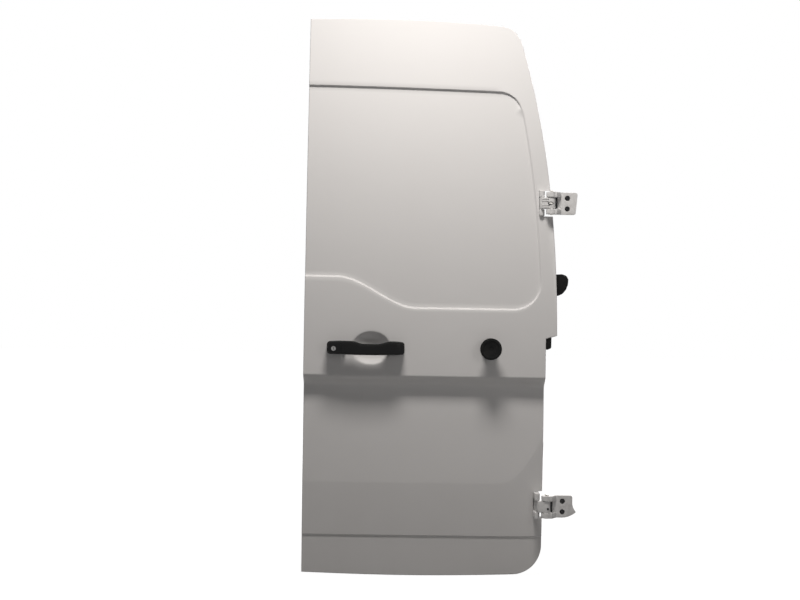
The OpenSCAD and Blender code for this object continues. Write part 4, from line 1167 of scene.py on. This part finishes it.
def overslamStops():
    stops = Parts()
    for z in (119, 1556):
        tilt = math.atan((float(backY(z + 10)) - float(backY(z - 10))) / 20)
        stops.turn([(10.4, 0), (11, 0.5), (11, 4.2), (10.3, 6.1), (8.6, 7.5), (6.2, 8),
                    (4.4, 7.7), (3.6, 6.4), (0.8, 6.2)],
                   (float(sideX(z)) - 100, float(backY(z)) + 0.3, z),
                   (0, math.cos(tilt), -math.sin(tilt)), 40)
    stops.make("overslam_stops", "door", "rubber", ("overslam_buffers",), sharp=45)


def meetingSeal():
    # foot strip and bulb, drawn in section and carried up the meeting edge
    bulb = ([(14, 0.2), (14.3, 0), (27.7, 0), (28, 0.2), (28, 1.8), (27.4, 2.2), (25, 2.3)]
            + [(20.5 + 4.3 * math.cos(a), 4.7 + 4.3 * math.sin(a))
               for a in np.linspace(-0.45, math.pi + 0.45, 14)]
            + [(15.4, 2.3), (14.4, 2.2), (14, 1.8)])
    seat = skin["thick"] + panel["lap"] + panel["sheet"] + 0.3
    strip = [[(u, float(skinY(u, z)) + seat + v, z) for u, v in bulb]
             for z in np.linspace(184.0, 1636.0, 150)]
    Parts().loops(strip).make("meeting_edge_bulb_seal", "door", "rubber",
                              ("meeting_edge_seal",), sharp=50)


wiringBoot()
edgeBuffer()
overslamStops()
meetingSeal()
print("holder and rubber parts made")


# ---- inner side

waist = {"low": 600, "high": 1003, "lap": 112, "deep": 6.0, "rim": 34, "soft": 12}


def waistPanel():
    x0, x1 = waist["lap"], float(sideX(waist["low"])) - waist["lap"]
    xs, zs = np.linspace(x0, x1, 140), np.linspace(waist["low"], waist["high"], 96)
    x, z = np.meshgrid(xs, zs)

    def field(a0, a1, c0, c1, r):
        # 1 inside a rounded rectangle, easing to 0 over its rim
        dx = np.maximum(np.maximum(a0 + r - x, x - a1 + r), 0)
        dz = np.maximum(np.maximum(c0 + r - z, z - c1 + r), 0)
        inner = np.minimum(np.minimum(x - a0, a1 - x), np.minimum(z - c0, c1 - z))
        gap = np.where((dx > 0) & (dz > 0), r - np.hypot(dx, dz), inner)
        return ramp(gap / waist["soft"])
    rim = waist["rim"]
    sunk = field(x0 + rim, x1 - rim, waist["low"] + 22, waist["high"] - 24, 38)
    ridge = field(412, 572, 838, 958, 26) - field(426, 558, 852, 944, 20)
    raised = np.maximum(field(176, 300, 686, 810, 30), field(322, 538, 618, 782, 36))
    lift = -waist["deep"] * sunk * (1 - raised) - 2.4 * ridge
    back = backY(z) - panel["lap"] - panel["sheet"]
    faces, points = [], []
    rows, cols = x.shape
    for shift in (0, -panel["sheet"]):
        points.append(np.stack([x, back + lift + shift, z], -1).reshape(-1, 3))
    n = rows * cols
    for i in range(rows - 1):
        for j in range(cols - 1):
            a = i * cols + j
            faces += [(a, a + 1, a + cols + 1, a + cols),
                      (n + a, n + a + cols, n + a + cols + 1, n + a + 1)]
    border = (list(range(cols)) + [i * cols + cols - 1 for i in range(1, rows)]
              + [(rows - 1) * cols + j for j in range(cols - 2, -1, -1)]
              + [i * cols for i in range(rows - 2, 0, -1)])
    for a, b in zip(border, border[1:] + border[:1]):
        faces.append((a, n + a, n + b, b))
    piece = makePiece("waist_panel_pressing", np.concatenate(points), faces, "door", "inner",
                      ("waist_panel",), 40)
    holes = Parts()
    for x0, x1, z0, z1, r in ((331.3, 522.2, 640, 760, 25), (180.5, 291.2, 703, 793, 20)):
        hole = filleted([(x0, z0), (x1, z0), (x1, z1), (x0, z1)], r, 8)
        holes.loops(standing(slabLoops(hole, 0, 80, 0.1)))
    cutWith(piece, holes)


waistPanel()
for node, width in {"upper_skin_stiffener": 2.0, "lower_skin_stiffener": 2.0,
                    "upper_hinge_reinforcement": 0.8, "lower_hinge_reinforcement": 0.8,
                    "upper_hinge_pocket": 0.9, "lower_hinge_pocket": 0.9,
                    "lock_reinforcement": 0.7}.items():
    softened(node, node + "_pressing", "door", "inner", width, 2, angle=20)
softened("inner_release_handle", "inner_release_handle_moulding", "door", "plastic", 1.8, 3)
softened("handle_carrier", "handle_carrier_bracket", "door", "zinc", 0.6, 2)


def latchCase(level, z):
    # closed case with its striker slot, the claw in it and three screws
    y = latchY(z)
    low, high = z - latch["half"], z + latch["half"]
    box = filleted([(y - latch["deep"], low), (y, low), (y, high), (y - latch["deep"], high)], 6)
    case = Parts().loops(sideways(slabLoops(box, latch["left"], latch["right"], 1.4))).make(
        level + "_latch_case", "door", "zinc", (level + "_latch",))
    low, high = z - latch["slotHalf"], z + latch["slotHalf"]
    front, back = y - latch["slotFront"], y - latch["slotBack"]
    slot = filleted([(front, low), (back, low), (back, high), (front, high)], 5)
    cutWith(case, Parts().loops(sideways(slabLoops(slot, 50, 76, 0.1))), 35)
    hook = filleted([(y - 23.5, z - 20), (y - 12.5, z - 20), (y - 12.5, z + 5), (y - 17, z + 5),
                     (y - 17, z - 7), (y - 20.5, z - 7), (y - 20.5, z + 2), (y - 23.5, z + 2)],
                    (2, 2, 2, 2, 1.4, 1.4, 1.2, 1.2), 4)
    Parts().loops(sideways(slabLoops(hook, 62.5, 68.5, 0.6))).make(
        level + "_latch_claw", "door", "nickel")
    fixings = Parts()
    for dy, dz in ((-18, 31), (-18, -31), (-5, 27)):
        socketBolt(fixings, (57.9, y + dy, z + dz), (-1, 0, 0), r=5.6, rise=2.4, recess=2.4,
                   shank=3.5, length=2)
    fixings.make(level + "_latch_screws", "door", "zinc")


def latchRod(name, low, high):
    def end(level, way):
        return Vector((73.3, latchY(latches[level]) - 18,
                       latches[level] + way * (latch["half"] + 0.5)))
    start, way = end(low, 1), end(high, -1) - end(low, 1)
    length = way.length
    Parts().turn([(2.6, 0), (3.5, 1), (3.5, 22), (4.6, 22.6), (4.6, 30), (3.5, 30.6),
                  (3.5, length - 31), (4.6, length - 30.4), (4.6, length - 22),
                  (3.5, length - 21), (3.5, length - 1), (2.6, length)],
                 start, way, 24).make(name + "_drawn", "door", "zinc", (name,))


for level, z in latches.items():
    latchCase(level, z)
latchRod("top_latch_rod", "central", "top")
latchRod("bottom_latch_rod", "bottom", "central")


def onRail(parts, path, x, z, count):
    return parts.turn(path, (x, float(backY(z)), z), (0, 1, 0), count)


def clipsAndPlugs():
    # sockets for the inner trim's clips, and plugs in the pressing's working holes
    clips, plugs = Parts(), Parts()
    places = [(x, z) for z in (330, 520, 1070, 1230, 1390, 1560)
              for x in (102, float(sideX(z)) - 104)]
    places += [(x, z) for x in (210, 400, 590)
               for z in (float(bottomZ(x)) + 100, float(topZ(x)) - 100)]
    for x, z in places:
        onRail(clips, [(7.4, 0), (7.4, 0.9), (6.6, 1.5), (5.2, 1.6), (4.7, 0.7), (0.6, 0.5)],
               x, z, 28)
    clips.make("trim_clip_sockets", "door", "plastic", sharp=45)
    for z in (420, 700, 1130, 1480):
        onRail(plugs, [(12, 0), (12.4, 0.6), (12, 1.5), (10.6, 2.1), (9, 1.8), (8, 1.1),
                       (0.6, 0.9)], 98 if z == 700 else float(sideX(z)) - 96, z, 36)
    plugs.make("frame_hole_plugs", "door", "rubber", sharp=45)


clipsAndPlugs()


def weldMarks():
    # shallow spot-weld dimples along the waist panel's laps
    marks = Parts()
    for z in range(640, 1000, 52):
        for x in (122, float(sideX(z)) - 130):
            onRail(marks, [(3.4, -0.2), (3.4, 0.1), (2.9, 0.32), (2.3, 0.1), (0.4, 0.05)],
                   x, z, 20)
    marks.make("weld_marks", "door", "inner", sharp=60)


weldMarks()


def bondingPads():
    # dabs of mastic between the beams and the skin
    random = np.random.default_rng(3)
    pads = Parts()
    for z in (1320.8, 441.0):
        for lift in (-30, 30):
            for x in np.arange(95, 700, 55):
                if x > float(sideX(z)) - 90:
                    continue
                at = x + random.uniform(-6, 6)
                r = random.uniform(5.5, 8.5)
                y = float(skinY(at, z + lift)) + skin["thick"]
                edge = z + lift + math.copysign(10, lift)
                pads.turn([(r * 0.9, -0.1), (r, 0.6), (r * 0.92, 1.8), (r * 0.7, 2.6),
                           (r * 0.3, 2.9)], (at, y, edge), (0, 1, 0), 20)
    pads.make("bonding_pads", "door", "sealer", sharp=60)


bondingPads()
print("inner side made")


# ---- studio

camera = {"x": 288.0, "y": -3470.5, "z": 908.2, "yaw": 0.414, "roll": 0.969, "focalPixels": 1050}
lens = bpy.data.cameras.new("photoCamera")
lens.sensor_width = 36
lens.lens = camera["focalPixels"] / 800 * 36
lens.clip_start, lens.clip_end = 0.05, 60
eye = bpy.data.objects.new("photoCamera", lens)
bpy.context.scene.collection.objects.link(eye)
eye.location = spot(camera["x"], camera["y"], camera["z"])
level = Matrix.Rotation(math.radians(90), 4, "X")
eye.matrix_world = (Matrix.Translation(eye.location)
                    @ Matrix.Rotation(math.radians(-camera["yaw"]), 4, "Z") @ level
                    @ Matrix.Rotation(math.radians(camera["roll"]), 4, "Z"))
bpy.context.scene.camera = eye

bpy.context.scene.view_settings.view_transform = "Standard"


def softbox(name, place, target, size, power, tint, mirrored=True):
    lamp = bpy.data.lights.new(name, "AREA")
    lamp.shape = "RECTANGLE"
    lamp.size, lamp.size_y = size
    lamp.energy = power
    lamp.color = tint
    box = bpy.data.objects.new(name, lamp)
    bpy.context.scene.collection.objects.link(box)
    box.location = place
    box.rotation_mode = "QUATERNION"
    box.rotation_quaternion = (Vector(target) - Vector(place)).to_track_quat("-Z", "Y")
    box.visible_glossy = mirrored


warm = (1, 0.962, 0.925)
softbox("overheadSoftbox", (-0.46, -0.92, 2.62), (-0.46, -1.35, -0.2), (0.75, 0.45), 53, warm,
        mirrored=False)
softbox("sideSoftbox", (0.5, -1.4, 0.9), (-0.4, 0, 0.45), (0.5, 0.5), 1.7, warm)
softbox("rearSoftbox", (0.4, 2.6, 2.3), (-0.45, 0, 0.6), (2.0, 1.4), 85, (1, 0.97, 0.94))


def paleWorld():
    sky = Finish("paleStudio", bpy.data.worlds.new("paleStudio"))
    soft = sky.add("ShaderNodeBackground", {}, {"Color": (0.97, 0.97, 1.0, 1), "Strength": 0.07})
    white = sky.add("ShaderNodeBackground", {}, {"Color": (1, 1, 1, 1), "Strength": 1.0})
    chosen = sky.add("ShaderNodeMixShader", {}, {0: sky.seen(), 1: soft, 2: white})
    sky.add("ShaderNodeOutputWorld", {}, {"Surface": chosen})
    bpy.context.scene.world = sky.owner


def paleFloor():
    # matt grey that takes the shadow, under a glow that makes it white to the eye
    look = Finish("paleFloor")
    tone = look.blend(look.noise(4, 2, 0.5) * 0.2, (0.22, 0.22, 0.22), (0.20, 0.20, 0.20))
    matt = look.add("ShaderNodeBsdfDiffuse", {}, {"Color": tone})
    reach = look.add("ShaderNodeVectorMath", {"operation": "LENGTH"}, {0: look.place()}, "Value")
    white = look.blend(look.fade(reach, 0.8, 2.4), (0.88, 0.88, 0.88), (1, 1, 1))
    glow = look.add("ShaderNodeEmission", {}, {"Color": white, "Strength": 1.0})
    both = look.add("ShaderNodeAddShader", {}, {0: matt, 1: glow})
    chosen = look.add("ShaderNodeMixShader", {}, {0: look.seen(), 1: matt, 2: both})
    look.add("ShaderNodeOutputMaterial", {}, {"Surface": chosen})
    mesh = bpy.data.meshes.new("studioFloor")
    low, half = cadLow.z - 0.002, 14
    mesh.from_pydata([(-half, -half, low), (half, -half, low), (half, half, low),
                      (-half, half, low)], [], [(0, 1, 2, 3)])
    mesh.materials.append(look.owner)
    floor = bpy.data.objects.new("studioFloor", mesh)
    bpy.context.scene.collection.objects.link(floor)


paleWorld()
paleFloor()
print("studio made")
